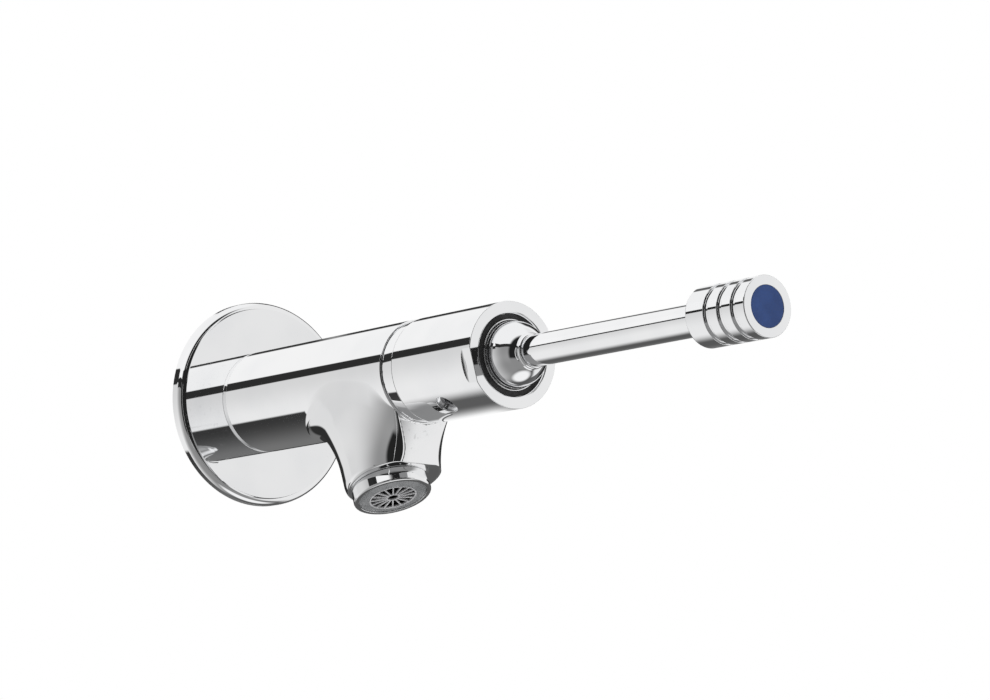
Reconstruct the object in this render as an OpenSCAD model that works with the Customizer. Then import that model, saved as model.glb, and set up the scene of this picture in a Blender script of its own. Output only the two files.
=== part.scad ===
// Push timed tap: a wall tap that a long ball-jointed lever opens and a damped piston closes.
// Frame: the wall is the plane y = 0 and the tap's axis runs out from it along -Y, with +Z up.
// Places along the axis are distances out from the wall. Lengths are in millimetres.

/* [Wall plate] */
// Diameter of the wall plate
plate_d = 70.8; // [60:0.2:80]
// Drop of the loose plate below the tap's axis
plate_drop = 0.5; // [0:0.1:0.5]
// Depth of the plate from the wall to its front face
plate_depth = 4.8; // [4:0.1:8]
// Wall thickness of the pressed plate
plate_wall = 1.2; // [0.8:0.1:2]
// Radius of the plate's front edge
plate_edge_r = 0.8; // [0.4:0.1:1.1]
// Width of the foam ring behind the plate
plate_seal_w = 6; // [3:0.5:9]

/* [Inlet] */
// Outside diameter of the inlet thread
inlet_d = 20.96; // [16.66:0.01:26.44]
// Length of the inlet thread behind the wall
inlet_len = 18; // [12:0.5:30]
// Waterway through the nipple
inlet_bore_d = 15; // [10:0.5:16]
// Diameter of the nipple's collar behind the plate
nipple_collar_d = 29; // [26:0.5:34]
// Length of thread that enters the tap's body
nipple_grip = 11; // [8:0.5:14]
// Thickness of the washer at the nipple's end
nipple_washer_t = 2; // [1:0.5:3]
// Length of the strainer's frame
strainer_len = 4; // [3:0.5:8]
// Diameter of the holes in the strainer
strainer_hole_d = 1.1; // [0.6:0.1:1.3]

/* [Body] */
// Diameter of the body tube
tube_d = 34.8; // [33:0.1:37]
// Distance from the wall to the seam in front of the body
seam_s = 95.6; // [92:0.1:110]
// Waterway between the nipple and the valve seat
waterway_d = 16; // [15:0.5:18]
// Wall between the tube's outside and the cartridge's bore
body_wall = 4.9; // [4:0.1:5.4]
// Distance from the wall to the bottom of the cartridge's bore
cartridge_s = 46; // [42:0.5:48]
// Length of the spigot in front of the seam
spigot_len = 16.4; // [14:0.2:18]

/* [Spout] */
// Lean of the spout's axis away from the wall
spout_tilt = 21.8; // [18:0.1:24]
// Distance from the wall to where the spout's axis leaves the tap's axis
spout_s = 63.9; // [62:0.1:66]
// Distance along the spout's axis to the aerator's face
spout_reach = 43; // [42:0.05:46]
// Distance from the spout's axis forward to the middle of its outline
spout_fore = 3; // [2:0.1:4]
// Half width of the spout at its end
spout_half_w = 15.5; // [15:0.1:16.4]
// Depth of the spout behind its axis
spout_back = 15.6; // [15:0.1:17]
// Reach of the spout's round front, before the flat face is cut
spout_front = 18; // [17.4:0.1:19]
// Distance from the spout's axis to the foot of its flat front face
front_flat = 16.4; // [15.6:0.1:17]
// Lean of the flat front face against the spout's axis
front_flat_lean = 29.2; // [27:0.1:31]
// Radius of the fillet behind the spout
back_fillet_r = 22; // [21:0.5:25]
// Height above the aerator's face where that fillet starts
back_fillet_h = 15.5; // [14:0.5:16]
// Radius of the flare at the spout's front
front_flare_r = 12; // [10:0.5:14]
// Height above the aerator's face where the sides start to widen
side_flare_h = 12; // [10:0.5:14]
// Height over which the sides widen to the tube
side_flare_len = 16; // [14:0.5:20]
// Height of the spout's lower edge over the aerator's face, at the flat front
spout_edge_h = 4.3; // [3.8:0.1:4.7]
// Lean of the spout's lower edge against the aerator's face
spout_edge_lean = 7.8; // [4:0.1:9]
// Diameter of the passage down the spout
spout_passage_d = 17; // [12:0.5:18]
// Depth of the threaded mouth for the aerator
spout_mouth_depth = 14.5; // [14:0.1:16]

/* [Aerator] */
// Diameter of the aerator's chrome ring
aerator_d = 26.1; // [25.2:0.1:26.4]
// Height of the ring that shows below the spout
aerator_ring_h = 4.8; // [3:0.1:5.2]
// Step from the ring in to the aerator's thread
aerator_step = 1.15; // [0.8:0.05:1.4]
// Width of the ring's rim round the insert's face
aerator_rim_w = 1.65; // [1.3:0.05:2]
// Wall thickness of the housing behind its thread
aerator_wall = 1.4; // [1.1:0.1:1.6]
// Width of the insert's plain face round the spokes
insert_face_w = 3.4; // [3:0.1:5]
// Number of spokes across the outlet
spokes = 16; // [8:1:20]
// Width of each spoke
spoke_w = 0.45; // [0.35:0.05:0.8]
// Diameter of the hole in the middle of the spokes
hub_hole_d = 3.6; // [3:0.1:5]
// Width of the ring round that hole
hub_ring_w = 0.5; // [0.4:0.1:1.2]
// Number of fine screens in the aerator
screens = 2; // [1:1:3]

/* [Head] */
// Length of the collar ring between the body and the sleeve
collar_len = 6.1; // [4:0.1:8]
// Taper of the collar ring, from the sleeve's diameter down to its small end at the body
collar_taper = 0.55; // [0:0.05:1.2]
// How much narrower the sleeve is than the body tube, across
sleeve_step = 0.1; // [0:0.1:1]
// Wall thickness of the head sleeve
sleeve_wall = 2.95; // [2.6:0.05:3.2]
// Length of the head sleeve
sleeve_len = 41.7; // [41:0.1:44]
// Width of the lip round the opening in the sleeve's front face
mouth_lip_w = 1.1; // [0.8:0.1:1.4]
// Thickness of that lip
mouth_lip_t = 1.4; // [1:0.1:1.8]
// Depth of the two wrench flats
flat_depth = 0.9; // [0.3:0.1:1.6]
// Length of the wrench flats along the sleeve
flats_len = 4.7; // [3:0.1:7]
// Turn of the wrench flats about the tap's axis
flats_turn = 16.5; // [-45:0.5:45]
// Diameter of the hole over the grub screw
grub_hole_d = 7.6; // [6.6:0.1:8]
// Thread diameter of the grub screw
grub_d = 6; // [4:0.5:6]
// Distance from the sleeve's front face back to the grub screw
grub_back = 22.6; // [21.5:0.1:24.5]
// Turn of the grub screw about the tap's axis
grub_turn = 238; // [180:1:360]

/* [Lever] */
// Distance of the ball's middle in front of the sleeve's face
ball_out = 0.6; // [0:0.1:1]
// Gap between the ball and the opening in the sleeve's face
ball_gap = 2.4; // [2.3:0.1:2.8]
// Diameter of the lever's rod
rod_d = 10.3; // [8:0.1:11]
// Step from the rod out to the collar at its root
root_step = 0.75; // [0.3:0.05:1.2]
// Length of that collar in front of the ball
root_len = 1.2; // [0.6:0.1:2.4]
// Distance from the ball's middle to the front of the knob
lever_reach = 120.7; // [90:0.1:160]
// Length of the knob
knob_len = 26.5; // [22:0.1:34]
// Diameter of the knob
knob_d = 18.8; // [15.6:0.1:22]
// Diameter of the coloured disc in the knob's end
disc_d = 12.8; // [10:0.1:13.4]
// Thickness of that disc
disc_t = 1.4; // [1:0.1:2]
// Number of grooves round the knob
knob_grooves = 3; // [1:1:4]
// Width of each groove
groove_w = 2.1; // [1.2:0.1:2.4]
// Depth of each groove
groove_depth = 0.7; // [0.3:0.1:1]
// Depth of the studs that join the ball, rod and knob
stud_depth = 8; // [6:0.2:9]

/* [Ball joint] */
// Thickness of the plastic liner round the ball
liner_t = 0.65; // [0.5:0.05:0.8]
// Thickness of the socket behind the liner
socket_t = 0.85; // [0.7:0.05:1]
// Thickness of the thrust dish behind the socket
dish_t = 1.4; // [1:0.1:1.5]
// Half angle of the socket's rear opening
socket_open = 42; // [40:1:44]
// Half angle of the thrust dish
dish_half = 58; // [54:1:58]
// Diameter of the neck behind the ball
neck_d = 9.2; // [7.6:0.1:9.6]
// Diameter of the dish's flat rear face
dish_flat_d = 17.6; // [15:0.2:18]
// Height of that face behind the dish
dish_boss_t = 0.2; // [0.1:0.05:0.5]

/* [Valve] */
// Travel of the plunger and piston at the lever's full tilt
stroke = 1.86; // [1.6:0.02:2.1]
// Diameter of the hole in the valve seat
seat_hole_d = 10; // [9:0.2:11]
// Height of the seat's nose in the waterway
seat_nose_h = 1.5; // [1:0.1:2.5]
// Thickness of the seat ring's flange
seat_flange_t = 4; // [3:0.1:5]
// Thickness of the rubber seat washer
seat_washer_t = 2.8; // [2:0.1:3.6]
// Thickness of the nut behind the washer
washer_nut_t = 3.2; // [2:0.1:4]
// Diameter of the piston's stem
stem_d = 6; // [4:0.1:7]
// Length of the piston's head
piston_len = 10; // [8:0.5:11]
// Length of the chamber behind the piston, from the seat to the piston's head
chamber_len = 20; // [18:0.5:21]
// Length of the cap's thread
cap_thread_len = 20; // [19:0.5:20.5]
// Wall thickness of the cartridge shell
shell_wall = 1.7; // [1.5:0.1:2]
// Number of outlet windows in the shell
windows = 6; // [4:1:6]
// Diameter of each window
window_d = 7.2; // [5:0.1:8]
// Diameter of the plunger
plunger_d = 8; // [6:0.1:9]
// Wall round the spring pocket in the cap
pocket_wall = 4.45; // [4:0.05:4.8]
// Thickness of the push cup
cup_t = 2.4; // [2:0.1:2.8]
// Wire diameter of the springs
wire_d = 1.3; // [0.8:0.1:1.5]
// Number of turns in each spring
spring_turns = 6; // [4:1:8]

/* [Hidden] */
$fn = 96;
chrome = [0.86, 0.87, 0.88];
brass = [0.78, 0.62, 0.33];
steel = [0.66, 0.68, 0.70];
rubber = [0.12, 0.12, 0.13];
white_plastic = [0.88, 0.89, 0.88];
grey_plastic = [0.45, 0.47, 0.49];
disc_blue = [0.18, 0.28, 0.48];

// Clearances. Static pieces of the tap are a fit apart, and moving pieces a running gap.
fit = 0.05;
seam_gap = 0.1;
run = 0.06;
rest_gap = 0.3;
cup_gap = 0.35;
shell_gap = 0.2;
cap_gap = 0.15;
cup_clear = 0.6;
// How far a cut runs past the face it opens.
over = 1;

// Diameters that follow the body tube, from the outside in.
tube_r = tube_d / 2;
bore_r = tube_r - body_wall;
sleeve_d = tube_d - sleeve_step;
sleeve_bore_d = sleeve_d - 2 * sleeve_wall;
spigot_d = sleeve_bore_d - 4 * fit;
cap_head_d = sleeve_bore_d - 2 * cap_gap;
pocket_d = cap_head_d - 2 * pocket_wall;
cup_d = pocket_d - 2 * cup_clear;
mouth_d = sleeve_bore_d - 2 * mouth_lip_w;
shell_r = bore_r - shell_gap;
shell_bore_r = shell_r - shell_wall;
piston_d = 2 * (shell_bore_r - 2 * fit);
spring_r = pocket_d / 2 - wire_d - 0.9;

// Radii of the nested balls: ball, liner, socket and dish.
ball_r = mouth_d / 2 - ball_gap;
liner_in_r = ball_r + run;
liner_out_r = liner_in_r + liner_t;
socket_in_r = liner_out_r + run;
socket_out_r = socket_in_r + socket_t;
dish_in_r = socket_out_r + run;
dish_out_r = dish_in_r + dish_t;
liner_open = socket_open + 2;
liner_front = 74;
socket_front = 78;
socket_flange_t = 1.6;
socket_wall_t = 0.7;
socket_lip_r = ball_r + 0.3;
socket_lip_t = 0.35;
wiper_t = 0.75;
dish_reach = dish_out_r + dish_boss_t;
root_d = rod_d + 2 * root_step;
root_reach = sqrt(ball_r * ball_r - root_d * root_d / 4) + root_len;

// The wall plate and the inlet.
body_back_s = plate_depth;
nipple_collar_t = plate_depth - plate_wall - 0.4;
nipple_end_s = plate_depth - plate_wall + nipple_grip;
nipple_bore_end_s = nipple_end_s + nipple_washer_t;
strainer_back = 2;
strainer_s = strainer_back - inlet_len;
strainer_wall = 1.2;

// Places along the tap's axis, from the seam forward to the ball.
collar_s = seam_s + seam_gap;
sleeve_s = collar_s + collar_len + seam_gap;
face_s = sleeve_s + sleeve_len;
lip_s = face_s - mouth_lip_t;
ball_s = face_s + ball_out;
dish_face_s = ball_s - dish_reach;
cup_front_s = dish_face_s - cup_gap;
cup_back_s = cup_front_s - cup_t;
spigot_front_s = seam_s + spigot_len;
cap_head_s = spigot_front_s + 2 * seam_gap;
cap_front_s = cup_front_s - stroke - 1.3;
cap_s = cap_head_s - cap_thread_len;
pocket_floor_s = cap_head_s + 2;
grub_s = face_s - grub_back;
grub_tip_r = pocket_d / 2 + 1.2;
grub_head_r = sleeve_bore_d / 2 + 1.3;

// Places along the tap's axis inside the body, from the seat forward to the plunger.
seat_back_s = cartridge_s - seat_nose_h;
seat_front_s = cartridge_s + seat_flange_t;
seat_washer_s = seat_back_s - fit - seat_washer_t;
washer_nut_s = seat_washer_s - washer_nut_t;
shell_back_t = 2;
shell_s = seat_front_s;
shell_front_s = cap_s;
shell_len = shell_front_s - shell_s;
piston_s = shell_s + chamber_len;
piston_front_s = piston_s + piston_len;
piston_boss_len = 4;
bleed_hole_d = 0.9;
piston_boss_front_s = piston_front_s + piston_boss_len;
plunger_back_s = piston_boss_front_s + rest_gap;
plunger_tip_d = 0.6 * plunger_d;
lip_groove_s = piston_s + piston_len * 0.4;
lip_groove_len = 0.3 * piston_len;
lip_depth = 2.5;
shell_seal_wire_r = 0.5;
shell_seal_len = 1.4;
shell_seal_inset = 4;
shell_seal_s = [piston_s + piston_len / 2, shell_front_s - shell_seal_inset];
o_ring_wire_r = 0.9;
plunger_seal_inset = 6;
plunger_seal_s = cap_s + plunger_seal_inset;
plunger_seal_wire_r = 1;

// The lever's studs.
stud_d = 0.58 * rod_d;
stud_gap = 0.2;
// The aerator, from its ring inwards.
aerator_thread_d = aerator_d - 2 * aerator_step;
insert_face_d = aerator_d - 2 * aerator_rim_w;
insert_bore_d = aerator_thread_d - 2 * aerator_wall;
insert_wall = 1.2;
insert_in_r = insert_bore_d / 2 - fit - insert_wall - fit;
outlet_d = insert_face_d - 2 * insert_face_w;
outlet_rim_w = 0.5;
outlet_proud = 0.2;
grid_t = 2.85;
insert_rim_t = 1.6;
insert_face_h = 0.45;
aerator_seal_t = 2;
screen_h = 3.4;
screen_step = 1.2;
screen_t = 0.5;
screen_hole_d = 1.1;
screen_pitch = 1.9;
regulator_h = 7.6;
regulator_t = 2.4;
regulator_hole_d = 1.6;
regulator_pitch = 3.4;

// Heights on the spout count up from the aerator's face.
loft_rings = 16;
loft_sides = 40;
cap_rings = 4;
loft_top_h = spout_reach;
tube_inset = 0.25;
loft_end_drop = 1.5;
foot_chamfer = 0.9;
seat_circle_r = aerator_thread_d / 2 + 1.35;
mouth_r = aerator_thread_d / 2 + fit;

// Local +Z runs out from the wall along the tap's axis, and local +Y points up.
module out_from_wall(s) {
    rotate([90, 0, 0]) translate([0, 0, s]) children();
}

// Local +Z runs down the spout's axis from the tap's axis, and local +Y points forwards.
module down_spout(k) {
    translate([0, -spout_s, 0]) rotate([180 - spout_tilt, 0, 0]) translate([0, 0, k]) children();
}

// Local +Z runs up the spout's axis from the aerator's face, and local +Y points to the wall.
module up_spout(h) {
    translate([0, -spout_s, 0]) rotate([-spout_tilt, 0, 0]) translate([0, 0, h - spout_reach]) children();
}

module ring(outer_r, inner_r, length) {
    difference() {
        cylinder(r = outer_r, h = length);
        translate([0, 0, -over]) cylinder(r = inner_r, h = length + 2 * over);
    }
}

// A cylinder with a rounded edge at its foot and another at its top.
module rounded_cylinder(r, length, foot_r, top_r) {
    rotate_extrude() {
        translate([0, foot_r]) square([r, length - foot_r - top_r]);
        square([r - foot_r, length - top_r]);
        square([r - top_r - foot_r, length]);
        translate([0, length - top_r - foot_r]) square([r - top_r, top_r + foot_r]);
        translate([r - foot_r, foot_r]) circle(r = foot_r);
        translate([r - top_r, length - top_r]) circle(r = top_r);
    }
}

module o_ring(mid_r, wire_r) {
    rotate_extrude() translate([mid_r, 0]) circle(r = wire_r, $fn = 48);
}

// A zone of a ball shell, between two angles from the rear axis, about the origin.
module ball_zone(outer_r, inner_r, from_angle, to_angle) {
    far = 3 * outer_r;
    rotate_extrude() difference() {
        intersection() {
            circle(r = outer_r);
            polygon([
                [0, 0],
                [far * sin(from_angle), -far * cos(from_angle)],
                [far, -far],
                [far * sin(to_angle), -far * cos(to_angle)]]);
        }
        circle(r = inner_r);
    }
}

// A coil spring: a six-sided wire carried round a helix that climbs along +Z.
module coil_spring(mid_r, length, turns) {
    wire_r = wire_d / 2;
    steps = 14 * turns;
    sides = 6;
    rise = length - wire_d;
    function at(i) = [mid_r * cos(360 * turns * i / steps), mid_r * sin(360 * turns * i / steps)];
    function wire_point(i, j) = let (turn = 360 * turns * i / steps, a = 360 * j / sides)
        [(mid_r + wire_r * cos(a)) * cos(turn), (mid_r + wire_r * cos(a)) * sin(turn),
         wire_r + rise * i / steps + wire_r * sin(a)];
    points = [for (i = [0:steps]) for (j = [0:sides - 1]) wire_point(i, j)];
    first = [[for (j = [0:sides - 1]) j]];
    last = [[for (j = [sides - 1:-1:0]) steps * sides + j]];
    skin = [for (i = [0:steps - 1]) for (j = [0:sides - 1]) for (half = [0, 1])
        let (a = i * sides + j, b = i * sides + (j + 1) % sides)
        half == 0 ? [a, a + sides, b + sides] : [a, b + sides, b]];
    polyhedron(points, concat(first, last, skin), convexity = 8);
}

module wall_plate() color(chrome) {
    plate_r = plate_d / 2;
    hole_r = inlet_d / 2 + 0.6;
    translate([0, 0, -plate_drop]) out_from_wall(0) rotate_extrude() {
        difference() {
            union() {
                square([plate_r, plate_depth - plate_edge_r]);
                square([plate_r - plate_edge_r, plate_depth]);
                translate([plate_r - plate_edge_r, plate_depth - plate_edge_r]) circle(r = plate_edge_r);
            }
            translate([0, -over]) square([plate_r - plate_wall, plate_depth - plate_wall + over]);
            square([hole_r, plate_depth + over]);
        }
    }
}

module plate_seal() color(rubber) {
    outer_r = plate_d / 2 - plate_wall - rest_gap;
    translate([0, 0, -plate_drop]) out_from_wall(0)
        ring(outer_r, outer_r - plate_seal_w, plate_depth - plate_wall);
}

module inlet_nipple() color(brass) {
    thread_r = inlet_d / 2;
    chamfer = 0.8;
    difference() {
        union() {
            out_from_wall(chamfer - inlet_len)
                cylinder(r = thread_r, h = nipple_end_s + inlet_len - chamfer);
            out_from_wall(-inlet_len) cylinder(r1 = thread_r - chamfer, r2 = thread_r, h = chamfer);
            out_from_wall(plate_depth - plate_wall - nipple_collar_t)
                cylinder(r = nipple_collar_d / 2, h = nipple_collar_t);
        }
        out_from_wall(-inlet_len - over) cylinder(r = inlet_bore_d / 2, h = nipple_end_s + inlet_len + 2 * over);
    }
}

module nipple_washer() color(rubber) {
    out_from_wall(nipple_end_s) ring(inlet_d / 2 - 0.3, waterway_d / 2 + 0.2, nipple_washer_t);
}

module strainer_frame() color(white_plastic) {
    frame_r = inlet_bore_d / 2 - fit;
    out_from_wall(strainer_s) ring(frame_r, frame_r - strainer_wall, strainer_len);
}

module strainer_mesh() color(steel) {
    mesh_r = inlet_bore_d / 2 - strainer_wall - 2 * fit;
    pitch = strainer_hole_d * 1.5;
    rows = floor((mesh_r - strainer_hole_d) / pitch);
    out_from_wall(strainer_s + strainer_len / 2) linear_extrude(0.4) difference() {
        circle(r = mesh_r);
        for (i = [-rows:rows])
            for (j = [-rows:rows])
                if (norm([i * pitch, j * pitch]) < mesh_r - strainer_hole_d)
                    translate([i * pitch, j * pitch]) circle(d = strainer_hole_d, $fn = 6);
    }
}

// Rise of an arc of radius r at a distance d past where it starts.
// It stops just before the arc runs along the body tube.
function arc_rise(r, d) = let (run_d = min(max(d, 0), 0.98 * r * cos(spout_tilt)))
    r - sqrt(r * r - run_d * run_d);
// Smooth step from 0 to 1 as t goes from 0 to 1.
function ease(t) = let (u = min(max(t, 0), 1)) u * u * (3 - 2 * u);
// Half axes of the outline, from its middle.
function side_half(h) = spout_half_w
    + (tube_r - tube_inset - spout_half_w) * ease((h - side_flare_h) / side_flare_len);
function back_half(h) = spout_back + spout_fore + arc_rise(back_fillet_r, h - back_fillet_h);
function front_half(h) = spout_front - spout_fore + h * h / (2 * front_flare_r);
function depth_half(h, a) = cos(a) > 0 ? front_half(h) : back_half(h);
// Outline of the spout at a height h, at an angle a from the front.
function outline(h, a) = [side_half(h) * sin(a), spout_fore + depth_half(h, a) * cos(a)];
// Height of the leaning lower edge, at a distance f in front of the axis.
function edge_h(f) = spout_edge_h + (front_flat - f) * tan(spout_edge_lean);
// Points as the loft uses them: x, backwards, and up the spout.
function loft_point(p, h) = [p[0], -p[1], h];
function skirt_point(i, a) = let (
    low = outline(spout_edge_h, a),
    base = edge_h(low[1]),
    h = base + (loft_top_h - base) * i / loft_rings)
    loft_point(outline(h, a), h);
function cap_point(i, a) = let (
    low = skirt_point(0, a),
    turn = 90 * i / cap_rings,
    seat = [seat_circle_r * sin(a), -seat_circle_r * cos(a), aerator_ring_h])
    [seat[0] + (low[0] - seat[0]) * cos(turn), seat[1] + (low[1] - seat[1]) * cos(turn),
     low[2] + (seat[2] - low[2]) * sin(turn)];

// The spout's skin: oval rings from the aerator's seat up into the body tube.
module spout_skin() {
    angles = [for (j = [0:loft_sides - 1]) 360 * j / loft_sides];
    rings = concat(
        [for (i = [cap_rings:-1:1]) [for (a = angles) cap_point(i, a)]],
        [for (i = [0:loft_rings]) [for (a = angles) skirt_point(i, a)]]);
    count = len(rings);
    points = concat([for (r = rings) for (p = r) p],
        [[0, 0, aerator_ring_h], [0, 0, loft_top_h]]);
    foot = count * loft_sides;
    skin = [for (i = [0:count - 2]) for (j = [0:loft_sides - 1]) for (half = [0, 1])
        let (a = i * loft_sides + j, b = i * loft_sides + (j + 1) % loft_sides)
        half == 0 ? [a, a + loft_sides, b + loft_sides] : [a, b + loft_sides, b]];
    bottom = [for (j = [0:loft_sides - 1]) [foot, j, (j + 1) % loft_sides]];
    top = [for (j = [0:loft_sides - 1])
        [foot + 1, (count - 1) * loft_sides + (j + 1) % loft_sides, (count - 1) * loft_sides + j]];
    polyhedron(points, concat(skin, bottom, top), convexity = 6);
}

module tap_body() color(chrome) {
    reach = 3 * tube_r;
    difference() {
        union() {
            out_from_wall(body_back_s) cylinder(r1 = tube_r - foot_chamfer, r2 = tube_r, h = foot_chamfer);
            out_from_wall(body_back_s + foot_chamfer)
                cylinder(r = tube_r, h = seam_s - body_back_s - foot_chamfer);
            out_from_wall(seam_s - over) cylinder(d = spigot_d, h = spigot_len + over);
            difference() {
                up_spout(0) spout_skin();
                // The flat front face, and the seam plane above it.
                up_spout(spout_edge_h) translate([-reach, -front_flat, 0])
                    rotate([front_flat_lean, 0, 0]) translate([0, -reach, -reach / 2])
                        cube([2 * reach, reach, 2 * reach]);
                out_from_wall(seam_s) translate([-reach, -reach, 0]) cube(2 * reach);
                // The skin ends inside the tube, just below its axis.
                translate([-reach, -2 * reach, -loft_end_drop]) cube([2 * reach, 2 * reach, reach]);
            }
        }
        out_from_wall(body_back_s - over)
            cylinder(d = inlet_d + 2 * fit, h = nipple_bore_end_s - body_back_s + over);
        out_from_wall(body_back_s) cylinder(d = waterway_d, h = cartridge_s - body_back_s + over);
        out_from_wall(cartridge_s) cylinder(r = bore_r, h = spigot_front_s - cartridge_s + over);
        down_spout(bore_r / 2)
            cylinder(d = spout_passage_d, h = spout_reach - spout_mouth_depth - bore_r / 2 + over);
        down_spout(spout_reach - spout_mouth_depth) cylinder(r = mouth_r, h = spout_mouth_depth + over);
    }
}

module seat_ring() color(brass) {
    out_from_wall(0) difference() {
        union() {
            translate([0, 0, seat_back_s]) cylinder(d = waterway_d - 2 * fit, h = seat_nose_h + over);
            translate([0, 0, cartridge_s]) cylinder(r = bore_r - fit, h = seat_flange_t);
        }
        translate([0, 0, seat_back_s - over])
            cylinder(d = seat_hole_d, h = seat_nose_h + seat_flange_t + 2 * over);
        translate([0, 0, cartridge_s + seat_flange_t / 2]) o_ring_groove(bore_r);
    }
}

// A square groove for an o-ring that seals outwards against a bore.
module o_ring_groove(in_bore_r) {
    floor_r = in_bore_r - 2 * o_ring_wire_r - 2 * fit;
    translate([0, 0, -o_ring_wire_r - fit]) ring(in_bore_r + over, floor_r, 2 * (o_ring_wire_r + fit));
}

module groove_o_ring(in_bore_r) {
    o_ring(in_bore_r - o_ring_wire_r - fit, o_ring_wire_r);
}

module seat_o_ring() color(rubber) {
    out_from_wall(cartridge_s + seat_flange_t / 2) groove_o_ring(bore_r);
}

module cartridge_shell() color(white_plastic) {
    out_from_wall(0) difference() {
        translate([0, 0, shell_s]) cylinder(r = shell_r, h = shell_len);
        translate([0, 0, shell_s + shell_back_t]) cylinder(r = shell_bore_r, h = shell_len);
        translate([0, 0, shell_s - over]) cylinder(d = seat_hole_d, h = shell_back_t + 2 * over);
        for (s = shell_seal_s)
            translate([0, 0, s]) ring(bore_r + over, bore_r - 2 * (shell_seal_wire_r + fit), shell_seal_len);
        for (i = [0:windows - 1])
            rotate([0, 0, 360 * i / windows + 180 / windows])
                translate([0, 0, shell_s + shell_back_t + window_d / 2 + 1.5])
                    rotate([90, 0, 0]) cylinder(d = window_d, h = bore_r + over);
    }
}

module cartridge_o_rings() color(rubber) {
    for (s = shell_seal_s)
        out_from_wall(s + shell_seal_len / 2) o_ring(bore_r - fit - shell_seal_wire_r, shell_seal_wire_r);
}

module return_spring() color(steel) {
    floor_s = shell_s + shell_back_t + 0.1;
    out_from_wall(floor_s) coil_spring(spring_r, piston_s - 0.1 - floor_s, spring_turns);
}

module cartridge_cap() color(brass) {
    out_from_wall(0) difference() {
        union() {
            translate([0, 0, cap_s]) cylinder(r = bore_r - fit, h = cap_head_s - cap_s + over);
            translate([0, 0, cap_head_s]) cylinder(d = cap_head_d, h = cap_front_s - cap_head_s);
        }
        translate([0, 0, cap_s - over]) cylinder(d = plunger_d + 2 * run, h = cap_front_s - cap_s + 2 * over);
        translate([0, 0, plunger_seal_s])
            cylinder(d = plunger_d + 4.8 * plunger_seal_wire_r, h = 2.2 * plunger_seal_wire_r);
        translate([0, 0, pocket_floor_s]) cylinder(d = pocket_d, h = cap_front_s - pocket_floor_s + over);
        translate([0, 0, grub_s]) rotate([0, 0, grub_turn]) rotate([0, 90, 0])
            translate([0, 0, grub_tip_r - 0.2]) cylinder(d = grub_d + 4 * fit, h = sleeve_d);
    }
}

module plunger_o_ring() color(rubber) {
    wire_r = plunger_seal_wire_r;
    out_from_wall(plunger_seal_s + 1.1 * wire_r) o_ring(plunger_d / 2 + run + wire_r, wire_r);
}

module plunger_spring() color(steel) {
    floor_s = pocket_floor_s + 0.1;
    out_from_wall(floor_s) coil_spring(spring_r, cup_back_s - 0.1 - floor_s, spring_turns);
}

module collar_ring() color(chrome) {
    out_from_wall(collar_s) difference() {
        cylinder(r1 = sleeve_d / 2 - collar_taper, r2 = sleeve_d / 2, h = collar_len);
        translate([0, 0, -over]) cylinder(d = spigot_d + 2 * fit, h = collar_len + 2 * over);
    }
}

module head_sleeve() color(chrome) {
    out_from_wall(0) difference() {
        translate([0, 0, sleeve_s]) cylinder(d = sleeve_d, h = sleeve_len);
        translate([0, 0, sleeve_s - over]) cylinder(d = sleeve_bore_d, h = sleeve_len - mouth_lip_t + over);
        translate([0, 0, sleeve_s]) cylinder(d = mouth_d, h = sleeve_len + over);
        rotate([0, 0, flats_turn]) for (side = [-1, 1])
            translate([side * (sleeve_d - flat_depth), 0, face_s + over - (flats_len + over) / 2])
                cube([sleeve_d, sleeve_d, flats_len + over], center = true);
        translate([0, 0, grub_s]) rotate([0, 0, grub_turn]) rotate([0, 90, 0]) {
            cylinder(d = grub_d + 2 * fit, h = sleeve_d);
            translate([0, 0, grub_head_r + 0.1]) cylinder(d = grub_hole_d, h = sleeve_d);
        }
    }
}

module sleeve_grub_screw() color(steel) {
    socket_w = grub_d / 2;
    out_from_wall(grub_s) rotate([0, 0, grub_turn]) rotate([0, 90, 0]) difference() {
        translate([0, 0, grub_tip_r]) cylinder(d = grub_d, h = grub_head_r - grub_tip_r);
        translate([0, 0, grub_head_r - 2]) cylinder(d = socket_w / cos(30), h = 2 + over, $fn = 6);
    }
}

// Inside, the ball turns in the socket. In front, a thin lip keeps the wiper off the ball.
module socket_ring() color(chrome) {
    wall_s = lip_s - socket_wall_t;
    flange_s = lip_s - socket_flange_t;
    difference() {
        union() {
            out_from_wall(ball_s) ball_zone(socket_out_r, socket_in_r, socket_open, socket_front);
            out_from_wall(flange_s) cylinder(d = sleeve_bore_d - 2 * fit, h = socket_flange_t);
            out_from_wall(flange_s) cylinder(r = socket_lip_r + socket_lip_t, h = face_s - flange_s);
        }
        out_from_wall(0) intersection() {
            translate([0, 0, ball_s]) sphere(r = socket_in_r);
            translate([0, 0, wall_s - 2 * ball_r]) cylinder(r = 2 * ball_r, h = 2 * ball_r);
        }
        out_from_wall(wall_s - 2 * fit) cylinder(r = socket_lip_r, h = face_s - wall_s + over);
    }
}

module ball_wiper_ring() color(rubber) {
    out_from_wall(lip_s + fit) ring(mouth_d / 2 - fit, socket_lip_r + socket_lip_t + fit, wiper_t);
}

module aerator_housing() color(chrome) {
    thread_len = spout_mouth_depth - aerator_ring_h - aerator_seal_t;
    edge = 0.7;
    up_spout(0) difference() {
        union() {
            rounded_cylinder(aerator_d / 2, aerator_ring_h, edge, 0.3);
            cylinder(d = aerator_thread_d, h = aerator_ring_h + thread_len);
        }
        translate([0, 0, -over]) cylinder(d = insert_face_d, h = insert_rim_t + over);
        cylinder(d = insert_bore_d, h = aerator_ring_h + thread_len + over);
    }
}

module aerator_seal() color(rubber) {
    up_spout(spout_mouth_depth - aerator_seal_t + 0.1)
        ring(aerator_thread_d / 2 - 0.3, spout_passage_d / 2 + 0.2, aerator_seal_t - 0.2);
}

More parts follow.
